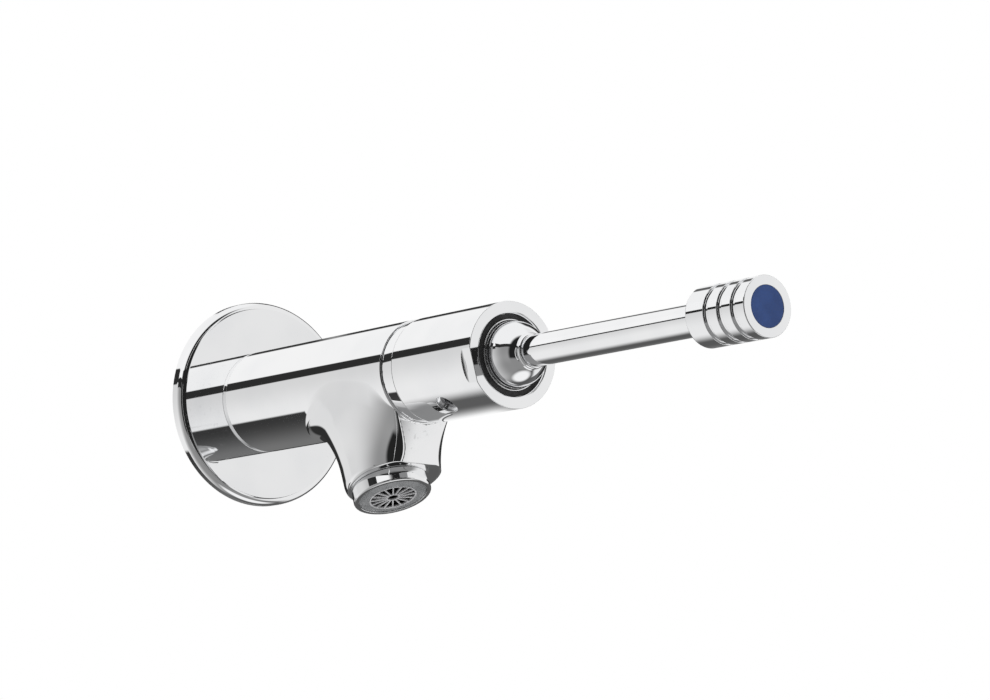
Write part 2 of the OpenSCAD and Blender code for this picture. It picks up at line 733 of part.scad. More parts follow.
module aerator_cup() color(grey_plastic) {
    body_r = insert_bore_d / 2 - fit;
    rim_r = insert_face_d / 2 - fit;
    cone_h = insert_face_h + outlet_proud - fit;
    top_h = spout_mouth_depth - aerator_seal_t - 0.2;
    up_spout(0) difference() {
        union() {
            translate([0, 0, insert_face_h]) cylinder(r = rim_r, h = insert_rim_t - insert_face_h - fit);
            translate([0, 0, insert_face_h - cone_h])
                cylinder(r1 = outlet_d / 2 + 0.2, r2 = rim_r - 0.3, h = cone_h);
            translate([0, 0, insert_face_h]) cylinder(r = body_r, h = top_h - insert_face_h);
        }
        translate([0, 0, -2 * over]) cylinder(d = outlet_d + 2 * fit, h = 4 * over);
        translate([0, 0, insert_rim_t - 0.4]) cylinder(r = body_r - insert_wall, h = spout_mouth_depth);
    }
}

module aerator_grid() color(grey_plastic) {
    hub_r = hub_hole_d / 2;
    up_spout(-outlet_proud) linear_extrude(grid_t) {
        difference() {
            circle(d = outlet_d);
            circle(d = outlet_d - 2 * outlet_rim_w);
        }
        difference() {
            circle(r = hub_r + hub_ring_w);
            circle(r = hub_r);
        }
        for (i = [0:spokes - 1])
            rotate(360 * (i + 0.5) / spokes) translate([hub_r + hub_ring_w / 2, -spoke_w / 2])
                square([outlet_d / 2 - outlet_rim_w / 2 - hub_r - hub_ring_w / 2, spoke_w]);
    }
    up_spout(insert_rim_t - 0.35)
        ring(insert_in_r, outlet_d / 2 - outlet_rim_w / 2, grid_t - outlet_proud - insert_rim_t + 0.35);
}

module perforated_disc(r, t, hole_d, pitch) {
    rows = floor(r / pitch);
    linear_extrude(t) difference() {
        circle(r = r);
        for (i = [-rows:rows])
            for (j = [-rows:rows])
                if (norm([i * pitch, j * pitch]) < r - hole_d)
                    translate([i * pitch, j * pitch]) circle(d = hole_d, $fn = 6);
    }
}

module aerator_screens() color(steel) {
    for (i = [0:screens - 1])
        up_spout(screen_h + screen_step * i)
            perforated_disc(insert_in_r, screen_t, screen_hole_d, screen_pitch);
}

module flow_regulator() color(white_plastic) {
    up_spout(regulator_h) perforated_disc(insert_in_r, regulator_t, regulator_hole_d, regulator_pitch);
}

module piston() color(white_plastic) {
    out_from_wall(0) difference() {
        union() {
            translate([0, 0, washer_nut_s]) cylinder(d = stem_d, h = piston_s - washer_nut_s + over);
            translate([0, 0, piston_s]) cylinder(d = piston_d, h = piston_len);
            translate([0, 0, piston_front_s - over]) cylinder(d = plunger_d, h = piston_boss_len + over);
        }
        translate([0, 0, lip_groove_s]) ring(piston_d, piston_d / 2 - lip_depth, lip_groove_len);
        // The bleed hole that times the flow.
        translate([0, (plunger_d + piston_d) / 4 - 0.6, piston_s - over])
            cylinder(d = bleed_hole_d, h = piston_len + 2 * over);
    }
}

module piston_lip_seal() color(rubber) {
    out_from_wall(lip_groove_s + fit)
        ring(piston_d / 2, piston_d / 2 - lip_depth + fit, lip_groove_len - 2 * fit);
}

module seat_washer() color(rubber) {
    out_from_wall(seat_washer_s) ring(seat_hole_d / 2 + 1.7, stem_d / 2 + fit, seat_washer_t);
}

module washer_nut() color(brass) {
    out_from_wall(washer_nut_s) difference() {
        cylinder(d = seat_hole_d + 2.6, h = washer_nut_t, $fn = 6);
        translate([0, 0, -over]) cylinder(d = stem_d + 2 * fit, h = washer_nut_t + 2 * over);
    }
}

module plunger() color(steel) {
    out_from_wall(plunger_back_s) cylinder(d = plunger_d, h = cup_back_s - plunger_back_s);
    out_from_wall(cup_back_s - over) cylinder(d = plunger_tip_d, h = cup_t + over - 0.2);
}

module push_cup() color(white_plastic) {
    out_from_wall(cup_back_s) ring(cup_d / 2, plunger_tip_d / 2 + fit, cup_t);
}

module ball_liner() color(white_plastic) {
    out_from_wall(ball_s) ball_zone(liner_out_r, liner_in_r, liner_open, liner_front);
}

module lever_ball() color(chrome) {
    out_from_wall(ball_s) difference() {
        union() {
            sphere(r = ball_r);
            translate([0, 0, -dish_reach + 0.2]) cylinder(d = neck_d, h = dish_reach);
            cylinder(d = root_d, h = root_reach);
        }
        translate([0, 0, root_reach - stud_depth]) cylinder(d = stud_d + 2 * fit, h = stud_depth + over);
    }
}

module thrust_dish() color(steel) {
    out_from_wall(ball_s) difference() {
        union() {
            ball_zone(dish_out_r, dish_in_r, 0, dish_half);
            translate([0, 0, -dish_reach]) cylinder(d = dish_flat_d, h = dish_reach / 2);
        }
        sphere(r = dish_in_r);
        translate([0, 0, -dish_reach - over]) cylinder(d = neck_d + 2 * fit, h = dish_reach);
        translate([0, 0, -dish_reach - 2 * over]) cylinder(r = dish_out_r, h = 2 * over);
    }
}

knob_back = lever_reach - knob_len;

module lever_rod() color(chrome) {
    out_from_wall(ball_s) {
        translate([0, 0, root_reach]) cylinder(d = rod_d, h = knob_back - root_reach);
        translate([0, 0, root_reach - stud_depth + stud_gap]) cylinder(d = stud_d, h = stud_depth + over);
        translate([0, 0, knob_back - over]) cylinder(d = stud_d, h = 1.7 * stud_depth + over);
    }
}

module lever_knob() color(chrome) {
    plain = 0.31 * knob_len;
    land = (knob_len - plain - knob_grooves * groove_w) / knob_grooves;
    edge = 0.5;
    out_from_wall(ball_s + knob_back) difference() {
        rounded_cylinder(knob_d / 2, knob_len, edge, 0.2);
        for (i = [0:knob_grooves - 1])
            translate([0, 0, plain + i * (groove_w + land)])
                ring(knob_d, knob_d / 2 - groove_depth, groove_w);
        translate([0, 0, -over]) cylinder(d = stud_d + 2 * fit, h = 1.7 * stud_depth + stud_gap + over);
        translate([0, 0, knob_len - disc_t - fit]) cylinder(d = disc_d + 2 * fit, h = disc_t + over);
    }
}

module indicator_disc() color(disc_blue) {
    out_from_wall(ball_s + lever_reach - disc_t) cylinder(d = disc_d, h = disc_t);
}

wall_plate();
plate_seal();
inlet_nipple();
nipple_washer();
strainer_frame();
strainer_mesh();
tap_body();
seat_ring();
seat_o_ring();
cartridge_shell();
cartridge_o_rings();
return_spring();
cartridge_cap();
plunger_o_ring();
plunger_spring();
collar_ring();
head_sleeve();
sleeve_grub_screw();
socket_ring();
ball_wiper_ring();
aerator_housing();
aerator_seal();
aerator_cup();
aerator_grid();
aerator_screens();
flow_regulator();
piston();
piston_lip_seal();
seat_washer();
washer_nut();
plunger();
push_cup();
ball_liner();
lever_ball();
thrust_dish();
lever_rod();
lever_knob();
indicator_disc();
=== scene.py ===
# %% [markdown]
# # A push timed tap in polished chrome
# The tap stands out from a wall plate on a straight tube. A short spout leans forwards under it, a sleeve in front
# holds a ball joint, and a long lever with a grooved knob opens the valve when it is pushed in any direction.
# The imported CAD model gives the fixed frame: what moves, and where each piece is. This lesson dresses it. Each
# visible metal piece is worked out again as a smooth surface, because polished metal shows every facet.

# %% Load the frame
import bpy
import numpy as np
from mathutils import Matrix, Vector


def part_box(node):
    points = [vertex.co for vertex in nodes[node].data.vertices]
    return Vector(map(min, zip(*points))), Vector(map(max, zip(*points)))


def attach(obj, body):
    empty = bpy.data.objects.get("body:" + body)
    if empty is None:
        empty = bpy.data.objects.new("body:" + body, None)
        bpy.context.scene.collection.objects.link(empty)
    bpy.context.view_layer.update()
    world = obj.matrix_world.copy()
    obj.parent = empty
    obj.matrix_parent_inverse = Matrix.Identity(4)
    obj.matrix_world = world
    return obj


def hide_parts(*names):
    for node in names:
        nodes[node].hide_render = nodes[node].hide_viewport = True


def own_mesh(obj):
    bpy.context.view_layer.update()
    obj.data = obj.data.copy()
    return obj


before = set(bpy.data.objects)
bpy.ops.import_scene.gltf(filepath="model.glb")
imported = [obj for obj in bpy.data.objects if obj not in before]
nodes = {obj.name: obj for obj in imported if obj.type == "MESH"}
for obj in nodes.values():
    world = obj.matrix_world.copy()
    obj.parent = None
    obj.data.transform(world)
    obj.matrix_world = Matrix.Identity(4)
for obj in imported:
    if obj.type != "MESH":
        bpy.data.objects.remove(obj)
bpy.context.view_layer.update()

# %% [markdown]
# ## The photograph's camera
# The camera was matched to the picture by laying the tap's known circles over it. It stands in front, to the left
# and a little below, and looks slightly up. The place is in metres, and the three columns are the directions that
# point right, up and back in the picture. The shift of half a pixel centres the match. Standard view keeps the greys
# as they are worked out.

# %% Camera
PICTURE_WIDTH, FOCAL_PIXELS, SENSOR_MM = 990, 3830.49, 36
SHIFT_RIGHT_PIXELS, SHIFT_UP_PIXELS, FARTHEST_M = 0.543, -0.613, 20
CAMERA_PLACE = (-0.741716, -1.092871, -0.187876)
camera_data = bpy.data.cameras.new("photo_camera")
camera = bpy.data.objects.new("photo_camera", camera_data)
bpy.context.scene.collection.objects.link(camera)
picture_axes = Matrix(((0.79029939, -0.10057379, -0.60441028),
                       (-0.61268303, -0.11874962, -0.78135653),
                       (0.0068105, 0.98781751, -0.15546761)))
camera.matrix_world = Matrix.Translation(CAMERA_PLACE) @ picture_axes.to_4x4()
camera_data.sensor_width = SENSOR_MM
camera_data.lens = FOCAL_PIXELS / PICTURE_WIDTH * SENSOR_MM
camera_data.shift_x = SHIFT_RIGHT_PIXELS / PICTURE_WIDTH
camera_data.shift_y = SHIFT_UP_PIXELS / PICTURE_WIDTH
camera_data.clip_end = FARTHEST_M
bpy.context.scene.camera = camera
bpy.context.scene.view_settings.view_transform = "Standard"
print("camera lens", round(camera_data.lens, 1), "mm")

# %% [markdown]
# ## From a grid of points to a mesh
# Every new piece is a grid of points worked out with numpy, closed round its columns. One helper turns such grids
# into a mesh. Points at the same place become one vertex, so poles and seams close. The helper also hands over the
# true normals of the surface, so that a mirror finish shows the curve and not the facets.

# %% Grid to mesh
MM = 0.001
MERGE_MM = 1e-5


def grid_quads(rows, columns, close_rows):
    """Four vertex numbers for each face: row i meets row i + 1, and with close_rows the last row meets the first."""
    index = np.arange(rows * columns).reshape(rows, columns)
    lower = index if close_rows else index[:-1]
    upper = np.roll(index, -1, 0) if close_rows else index[1:]
    return np.stack([lower, np.roll(lower, -1, 1), np.roll(upper, -1, 1), upper], -1)


def make_piece(name, grids):
    """One mesh object from grids of (points, normals, close_rows) and, if wanted, a mask of faces to leave out.
    Points are in millimetres. Faces are turned so that they look the way the normals do."""
    points, normals, quads = [], [], []
    first = 0
    for grid_points, grid_normals, close_rows, *left_out in grids:
        faces = grid_quads(*grid_points.shape[:2], close_rows)
        faces = faces[~left_out[0]] if left_out else faces.reshape(-1, 4)
        flat, flat_normals = grid_points.reshape(-1, 3), grid_normals.reshape(-1, 3)
        corner = flat[faces]
        facing = np.cross(corner[:, 2] - corner[:, 0], corner[:, 3] - corner[:, 1])
        if (facing * flat_normals[faces].mean(1)).sum() < 0:
            faces = faces[:, ::-1]
        points.append(flat)
        normals.append(flat_normals)
        quads.append(faces + first)
        first += len(flat)
    points, normals = np.vstack(points), np.vstack(normals)
    _, keep, same = np.unique(np.round(points / MERGE_MM), axis=0, return_index=True, return_inverse=True)
    faces = [list(dict.fromkeys(face)) for face in same.ravel()[np.vstack(quads)].tolist()]
    mesh = bpy.data.meshes.new(name)
    mesh.from_pydata((points[keep] * MM).tolist(), [], [face for face in faces if len(face) > 2])
    mesh.shade_smooth()
    mesh.normals_split_custom_set_from_vertices(normals[keep].tolist())
    piece = bpy.data.objects.new(name, mesh)
    bpy.context.scene.collection.objects.link(piece)
    print(f"{name}: {len(mesh.vertices)} vertices, {len(mesh.polygons)} faces")
    return piece


pieces = {"chrome": [], "brass": [], "grey_plastic": [], "blue_plastic": []}


def stand_in_for(piece, node, body, slot):
    """The piece takes a CAD node's place, rides on its body and takes its finish from its slot."""
    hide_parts(node)
    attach(piece, body)
    pieces[slot].append(piece)


# %% [markdown]
# ## Turned pieces
# Most of the tap is turned on a lathe: a flat outline is swept round an axis. Real turned and plated parts have no
# perfectly sharp corner, and the thin bright line along each edge is that small rounding. So an outline is given
# as corners with a radius each, and every corner becomes a short arc that touches both of its sides.

# %% Rounded outline
CORNER_STEPS = 6
TINY = 1e-9


def rounded_outline(corners, steps=CORNER_STEPS, closed=True):
    """Points and normals along an outline of (r, s, radius) corners, with the metal on its left. Each corner becomes
    an arc about the point on its bisector at radius / sin(half angle), and the normal turns from one side's to the
    other's. An open outline keeps its two end points as they are."""
    place = np.array([c[:2] for c in corners], float)
    count = len(corners)
    points, normals = [], []
    for k, radius in enumerate(c[2] for c in corners):
        arriving = place[k] - place[k - 1]
        leaving = place[(k + 1) % count] - place[k]
        if not closed and k == 0:
            arriving = leaving
        if not closed and k == count - 1:
            leaving = arriving
        arriving, leaving = arriving / np.linalg.norm(arriving), leaving / np.linalg.norm(leaving)
        first_normal = np.array([arriving[1], -arriving[0]])
        last_normal = np.array([leaving[1], -leaving[0]])
        bend = arriving[0] * leaving[1] - arriving[1] * leaving[0]
        if abs(bend) < TINY:
            points.append(place[k:k + 1])
            normals.append(first_normal[None])
            continue
        middle = leaving - arriving
        middle = middle / np.linalg.norm(middle)
        half = np.arccos(np.clip(leaving @ middle, -1, 1))
        centre = place[k] + middle * radius / np.sin(half)
        t = np.linspace(0, 1, steps)[:, None]
        normal = first_normal * (1 - t) + last_normal * t
        normal = normal / np.linalg.norm(normal, axis=1)[:, None]
        points.append(centre + np.sign(bend) * radius * normal)
        normals.append(normal)
    return np.vstack(points), np.vstack(normals)


# %% Turning
def turned(outline, axis, columns=144, closed=True):
    """Grid of a turned surface: point(i, j) = start + s_i * along + r_i * (side * cos t_j + up * sin t_j)."""
    points, normals = outline
    start, along, side, up = axis
    t = np.linspace(0, 2 * np.pi, columns, endpoint=False)
    round_way = np.cos(t)[:, None] * side + np.sin(t)[:, None] * up
    grid = start + points[:, 1, None, None] * along + points[:, 0, None, None] * round_way
    grid_normals = normals[:, 1, None, None] * along + normals[:, 0, None, None] * round_way
    return grid, grid_normals, closed


RIGHT, OUT, UP = np.array([1.0, 0, 0]), np.array([0, -1.0, 0]), np.array([0, 0, 1.0])
TAP_AXIS = (np.zeros(3), OUT, RIGHT, UP)


def turned_piece(name, corners, axis=TAP_AXIS, steps=CORNER_STEPS, closed=True, columns=144):
    """A piece that is one turned outline."""
    return make_piece(name, [turned(rounded_outline(corners, steps, closed), axis, columns, closed)])


# %% [markdown]
# ## Sizes
# The scene repeats the sizes of the CAD source in millimetres. Distances along the tap count out from the wall.

# %% Sizes of the tap
PLATE_R, PLATE_DEPTH, PLATE_WALL, PLATE_DROP, PLATE_HOLE_R = 35.4, 4.8, 1.2, 0.5, 11.08
TUBE_R, BACK_S, SEAM_S = 17.4, 4.8, 95.6
SPIGOT_R, SPIGOT_FRONT_S, BORE_R, BORE_S, WATERWAY_R = 14.3, 112.0, 12.5, 46.0, 8.0
NIPPLE_HOLE_R, NIPPLE_END_S = 10.53, 16.6
COLLAR_S, COLLAR_LEN, COLLAR_TAPER, SLEEVE_S, FACE_S, SLEEVE_R = 95.7, 6.1, 0.55, 101.9, 143.6, 17.35
SLEEVE_BORE_R, MOUTH_R, LIP_S = 14.4, 13.3, 142.2
BALL_S, BALL_R, ROOT_R, ROD_R, NECK_R, STUD_R, STUD_DEPTH = 144.2, 10.9, 5.9, 5.15, 4.6, 2.987, 8.0
LEVER_END_S, KNOB_LEN, KNOB_R, DISC_R, DISC_T = 264.9, 26.5, 9.4, 6.4, 1.4
NECK_LEN, ROOT_LEN, KNOB_STUD_DEPTH, STUD_CLEAR = 13.98, 1.2, 13.6, 0.05
ROOT_S = BALL_S + np.sqrt(BALL_R ** 2 - ROOT_R ** 2) + ROOT_LEN
KNOB_S = LEVER_END_S - KNOB_LEN
print("from the wall: sleeve", SLEEVE_S, "face", FACE_S, "rod", round(float(ROOT_S), 2), "knob", KNOB_S, "mm")

# %% [markdown]
# ## Wall plate
# The plate is pressed from sheet, so its rim is a rolled edge and it is hollow behind. It is turned about the inlet,
# half a millimetre low, as it hangs on the real pipe. The chrome doesn't mirror the plate and its seal, because the
# studio's long lights look the same in the plate, and only its rim would draw a stray line on the tube.

# %% Wall plate
PLATE_EDGE = 2.5
PLATE_AXIS = (np.array([0, 0, -PLATE_DROP]), OUT, RIGHT, UP)
plate = turned_piece("plate_skin", [
    (PLATE_HOLE_R, PLATE_DEPTH - PLATE_WALL, 0.1), (PLATE_R - PLATE_WALL, PLATE_DEPTH - PLATE_WALL, 0.5),
    (PLATE_R - PLATE_WALL, 0.0, 0.1), (PLATE_R, 0.0, 0.1), (PLATE_R, PLATE_DEPTH, PLATE_EDGE),
    (PLATE_HOLE_R, PLATE_DEPTH, 0.2)], PLATE_AXIS, steps=9, columns=192)
stand_in_for(plate, "wall_plate", "tap", "chrome")
plate.visible_glossy = nodes["plate_seal"].visible_glossy = False

# %% [markdown]
# ## Threaded inlet
# The nipple that screws into the wall has a half inch pipe thread. A thread is a radius that changes with the angle
# and the distance together, so one formula on a grid gives the whole helix. The CAD keeps a plain cylinder at the
# thread's outside diameter.

# %% Inlet nipple
THREAD_R, THREAD_PITCH, THREAD_DEPTH, THREAD_CHAMFER = 10.48, 1.814, 1.16, 0.9
THREAD_FIRST_S, THREAD_LAST_S, TUBE_END_S, INLET_BORE_R = -18.0, 2.0, NIPPLE_END_S - 2, 7.5
FLANGE_R, FLANGE_FIRST_S, FLANGE_LAST_S = 14.5, 0.4, 3.6


def grid_normals(grid, close_rows=False):
    """Normal of a grid from its own differences: the cross product of the step along the columns and the rows."""
    along = np.roll(grid, -1, 1) - np.roll(grid, 1, 1)
    down = np.roll(grid, -1, 0) - np.roll(grid, 1, 0) if close_rows else np.gradient(grid, axis=0)
    normal = np.cross(along, down)
    return normal / (np.linalg.norm(normal, axis=-1)[..., None] + 1e-12)


def thread_grid(columns=96, rows_per_turn=12):
    """Threaded tube: r = THREAD_R - depth * (1 + cos(2 pi s / pitch - t)) / 2, chamfered at its rear end, where the
    grid turns in to the bore. Three plain rows close it in front. The normals look outwards at the ridges."""
    s = np.arange(THREAD_FIRST_S, THREAD_LAST_S, THREAD_PITCH / rows_per_turn)[:, None]
    t = np.linspace(0, 2 * np.pi, columns, endpoint=False)
    wave = 2 * np.pi * s / THREAD_PITCH - t
    r = THREAD_R - THREAD_DEPTH * (1 + np.cos(wave)) / 2
    r = np.minimum(r, THREAD_R - THREAD_CHAMFER + (s - THREAD_FIRST_S))
    front = np.array([[THREAD_R, THREAD_LAST_S], [THREAD_R, TUBE_END_S], [INLET_BORE_R, TUBE_END_S]])
    rear = np.array([[INLET_BORE_R, THREAD_FIRST_S]])
    r = np.vstack([np.broadcast_to(rear[:, :1], (1, columns)), r, np.broadcast_to(front[:, :1], (3, columns))])
    s = np.vstack([rear[:, 1:], s, front[:, 1:]])
    grid = s[..., None] * OUT + r[..., None] * (np.cos(t)[:, None] * RIGHT + np.sin(t)[:, None] * UP)
    normals = grid_normals(grid, True)
    ridges = slice(20, 80)
    return grid, normals * np.sign((normals * (grid * [1, 0, 1]))[ridges].sum()), True


nipple = make_piece("nipple_skin", [thread_grid(), turned(rounded_outline([
    (THREAD_R - 0.2, FLANGE_FIRST_S, 0.1), (FLANGE_R, FLANGE_FIRST_S, 0.2), (FLANGE_R, FLANGE_LAST_S, 0.2),
    (THREAD_R - 0.2, FLANGE_LAST_S, 0.1)]), TAP_AXIS)])
stand_in_for(nipple, "inlet_nipple", "tap", "brass")

# %% [markdown]
# ## Collar
# The collar is a tapered ring. Its small end stands back from the body, so the seam there is a narrow shaded step.

# %% Collar ring
COLLAR_BORE_R = SPIGOT_R + 0.05
collar = turned_piece("collar_skin", [
    (COLLAR_BORE_R, COLLAR_S, 0.1), (SLEEVE_R - COLLAR_TAPER, COLLAR_S, 0.12),
    (SLEEVE_R, COLLAR_S + COLLAR_LEN, 0.14), (COLLAR_BORE_R, COLLAR_S + COLLAR_LEN, 0.1)])
stand_in_for(collar, "collar_ring", "tap", "chrome")

# %% [markdown]
# ## Head sleeve
# The sleeve has two small wrench flats behind its front face, and a round pocket for the grub screw. A flat is the
# turned surface held back to a plane, r = distance / cos(angle off the flat), and a quarter arc leads into it as a
# milling cutter leaves it. The pocket is a square block left out of the grid, filled with rings that change from
# the block's square edge to the round rim, and then go down the pocket's wall to its floor.

# %% Wrench flats
FLAT_TURN, FLAT_DEPTH, FLAT_S, FLAT_REACH = np.radians(16.5), 0.9, FACE_S - 4.7, 20
FLAT_DISTANCE = SLEEVE_R - FLAT_DEPTH
POCKET_TURN, POCKET_S = np.radians(238), 121.0
BLOCK_HALF, BLOCK_STEPS, ARC_ROWS, FREE_LIFT = 6.0, 16, 10, 9.0
SLEEVE_STEPS = 144
STEP_TURN = 2 * np.pi / SLEEVE_STEPS


def off_flat(t):
    """Angle from the nearer flat's middle, between -90 and 90 degrees."""
    return np.mod(t - FLAT_TURN + np.pi / 2, np.pi) - np.pi / 2


def sleeve_columns():
    """Angles round the sleeve: even steps counted from the pocket, and five times finer over the flats."""
    even = np.mod(POCKET_TURN + np.arange(SLEEVE_STEPS) * STEP_TURN, 2 * np.pi)
    even = even[np.abs(off_flat(even)) > np.radians(FLAT_REACH + 0.3)]
    fine = np.radians(np.linspace(-FLAT_REACH, FLAT_REACH, 4 * FLAT_REACH + 1))
    return np.sort(np.mod(np.concatenate([even, FLAT_TURN + fine, FLAT_TURN + np.pi + fine]), 2 * np.pi))


# %% Sleeve surface
def sleeve_grid(t):
    """Turned sleeve with its flats. On a flat row the radius is held back to (distance + lift) / cos(off), where
    lift follows the cutter's quarter arc, and the normal is the flat's own. Elsewhere FREE_LIFT holds nothing back.
    The rows of the pocket's block and of the flats come after the two rounded corners behind them."""
    outline, normals = rounded_outline([
        (SLEEVE_BORE_R, SLEEVE_S, 0.1), (SLEEVE_R, SLEEVE_S, 0.14), (SLEEVE_R, FACE_S, 0.2),
        (MOUTH_R, FACE_S, 0.8), (MOUTH_R, LIP_S, 0.1), (SLEEVE_BORE_R, LIP_S, 0.1)])
    start = 2 * CORNER_STEPS
    q = np.linspace(0, np.pi / 2, ARC_ROWS)
    block = POCKET_S + np.linspace(-BLOCK_HALF, BLOCK_HALF, BLOCK_STEPS + 1)
    arc_s = FLAT_S + FLAT_DEPTH * (1 - np.cos(q))
    extra = np.concatenate([block, [FLAT_S - 0.02], arc_s])
    outline = np.insert(outline, start, np.stack([np.full(len(extra), SLEEVE_R), extra], 1), axis=0)
    normals = np.insert(normals, start, np.tile([[1.0, 0.0]], (len(extra), 1)), axis=0)
    arc_row = start + len(block) + 1
    flat_row = arc_row + ARC_ROWS
    lift, lean = np.full(len(outline), FREE_LIFT), np.zeros(len(outline))
    lift[arc_row:flat_row] = FLAT_DEPTH * (1 - np.sin(q))
    lean[arc_row:flat_row] = np.cos(q)
    lift[flat_row:flat_row + CORNER_STEPS] = 0
    r, s = outline[:, :1], outline[:, 1:]
    off = off_flat(t)
    held = (FLAT_DISTANCE + lift[:, None] + r - SLEEVE_R) / np.cos(off)
    on_flat = held < r - TINY
    radius = np.where(on_flat, held, r)
    facing_turn = np.where(on_flat, t - off, t)
    round_way = np.cos(t)[:, None] * RIGHT + np.sin(t)[:, None] * UP
    facing = np.cos(facing_turn)[..., None] * RIGHT + np.sin(facing_turn)[..., None] * UP
    grid = s[..., None] * OUT + radius[..., None] * round_way
    lean = np.where(on_flat, lean[:, None], 0)[..., None]
    normal = normals[:, 1, None, None] * OUT + normals[:, 0, None, None] * facing
    normal = normal * np.sqrt(1 - lean ** 2) + OUT * lean
    left_out = np.zeros((len(outline), len(t)), bool)
    middle = int(np.argmin(np.abs(t - POCKET_TURN)))
    left_out[start:start + BLOCK_STEPS, middle - BLOCK_STEPS // 2:middle + BLOCK_STEPS // 2] = True
    return grid, normal, True, left_out


# %% Grub screw pocket
POCKET_R, POCKET_FLOOR_R, SCREW_HOLE_R, SCREW_HOLE_DEPTH = 3.8, 15.8, 3.05, 1.3


def pocket_grid():
    """Rings round the pocket. Ring k is at edge * (1 - k) + rim * k in (angle, distance) form on the sleeve. The
    last rings, each a radius, a depth and how far its normal looks out of the pocket, go down the wall, over the
    floor and down the screw's hole."""
    side = np.linspace(-1, 1, BLOCK_STEPS + 1)[:-1]
    one = np.ones(BLOCK_STEPS)
    square = np.concatenate([np.stack(pair, 1) for pair in
                             ((side, -one), (one, side), (-side, one), (-one, -side))])
    angle = np.arctan2(square[:, 1], square[:, 0])
    edge = square * [BLOCK_STEPS / 2 * STEP_TURN, BLOCK_HALF]
    rim_r = POCKET_R + 0.15
    rim = np.stack([np.arcsin(rim_r * np.cos(angle) / SLEEVE_R), rim_r * np.sin(angle)], 1)
    k = np.linspace(0, 1, 8)[:, None, None]
    flat = edge * (1 - k) + rim * k
    t, s = POCKET_TURN + flat[..., :1], POCKET_S + flat[..., 1:]
    normal = np.cos(t) * RIGHT + np.sin(t) * UP
    axis = np.cos(POCKET_TURN) * RIGHT + np.sin(POCKET_TURN) * UP
    across = -np.sin(POCKET_TURN) * RIGHT + np.cos(POCKET_TURN) * UP
    spoke = np.cos(angle)[:, None] * across + np.sin(angle)[:, None] * OUT
    brim = np.sqrt(SLEEVE_R ** 2 - (POCKET_R * np.cos(angle)) ** 2)[:, None]
    floor_depth = 0 * brim + POCKET_FLOOR_R
    rings = [(POCKET_R + 0.04, brim - 0.03, 0.6), (POCKET_R, brim - 0.13, 0.0), (POCKET_R, floor_depth + 0.02, 0.0),
             (POCKET_R - 0.02, floor_depth, 1.0), (SCREW_HOLE_R + 0.02, floor_depth, 1.0),
             (SCREW_HOLE_R, floor_depth - 0.02, 0.0), (SCREW_HOLE_R, floor_depth - SCREW_HOLE_DEPTH, 0.0),
             (0.0, floor_depth - SCREW_HOLE_DEPTH, 1.0)]
    wall = np.stack([POCKET_S * OUT + radius * spoke + depth * axis for radius, depth, share in rings])
    lean = np.stack([-spoke * (1 - share) + axis * share for radius, depth, share in rings])
    lean = lean / np.linalg.norm(lean, axis=-1)[..., None]
    return np.vstack([s * OUT + SLEEVE_R * normal, wall]), np.vstack([normal, lean]), False


# %% Head sleeve
sleeve = make_piece("sleeve_skin", [sleeve_grid(sleeve_columns()), pocket_grid()])
stand_in_for(sleeve, "head_sleeve", "tap", "chrome")

# %% [markdown]
# ## Socket ring
# The socket closes the sleeve's mouth. Behind, it is a zone of a ball shell that holds the liner. In front, a thin
# lip stands up between the ball and the black wiper ring. The shell is drawn as short chords, because it is hidden.

# %% Socket ring
SOCKET_IN_R, SOCKET_OUT_R, SHOULDER_IN_R, SHOULDER_R, SHOULDER_S = 11.67, 12.52, 12.0, 14.35, 140.6
LIP_IN_R, LIP_OUT_R, LIP_ROOT_S = 11.2, 11.55, 141.45


def ball_chords(radius, first, last, count=9):
    """Corners along an arc about the ball's middle, from one angle off the rear axis to another, in degrees."""
    t = np.radians(np.linspace(first, last, count))
    return [(radius * np.sin(a), BALL_S - radius * np.cos(a), 0.02) for a in t]


socket = turned_piece(
    "socket_skin", ball_chords(SOCKET_OUT_R, 42, 73) + [
        (SHOULDER_IN_R, SHOULDER_S, 0.05), (SHOULDER_R, SHOULDER_S, 0.1), (SHOULDER_R, LIP_S, 0.05),
        (LIP_OUT_R, LIP_S, 0.05), (LIP_OUT_R, FACE_S, 0.16), (LIP_IN_R, FACE_S, 0.16), (LIP_IN_R, LIP_ROOT_S, 0.02)]
    + ball_chords(SOCKET_IN_R, 76, 42))
stand_in_for(socket, "socket_ring", "tap", "chrome")

# %% [markdown]
# ## Ball, rod and knob
# The ball is half a circle turned about the tap's axis, with a neck behind and a collar in front. The rod stands in
# the collar with a short undercut at its root, and a stud at each end holds it.

# %% Ball with its neck and root collar
def ball_outline():
    """Half a circle between the neck and the root collar, with both ends and the stud's hole as corners."""
    neck_meet, root_meet = np.sqrt(BALL_R ** 2 - NECK_R ** 2), np.sqrt(BALL_R ** 2 - ROOT_R ** 2)
    t = np.linspace(np.pi - np.arcsin(NECK_R / BALL_R), np.arcsin(ROOT_R / BALL_R) + 0.03, 72)
    arc = np.stack([BALL_R * np.sin(t), BALL_S + BALL_R * np.cos(t)], 1)
    rear, rear_normals = rounded_outline([
        (0, BALL_S - NECK_LEN, 0.1), (NECK_R, BALL_S - NECK_LEN, 0.2), (NECK_R, BALL_S - neck_meet, 0.02)],
        closed=False)
    hole_r = STUD_R + STUD_CLEAR
    front, front_normals = rounded_outline([
        (ROOT_R, BALL_S + root_meet - 0.2, 0.05), (ROOT_R, ROOT_S, 0.95), (hole_r, ROOT_S, 0.1),
        (hole_r, ROOT_S - STUD_DEPTH, 0.1), (0.0, ROOT_S - STUD_DEPTH, 0.1)], closed=False)
    arc_normals = (arc - [0, BALL_S]) / BALL_R
    return np.vstack([rear, arc, front]), np.vstack([rear_normals, arc_normals, front_normals])


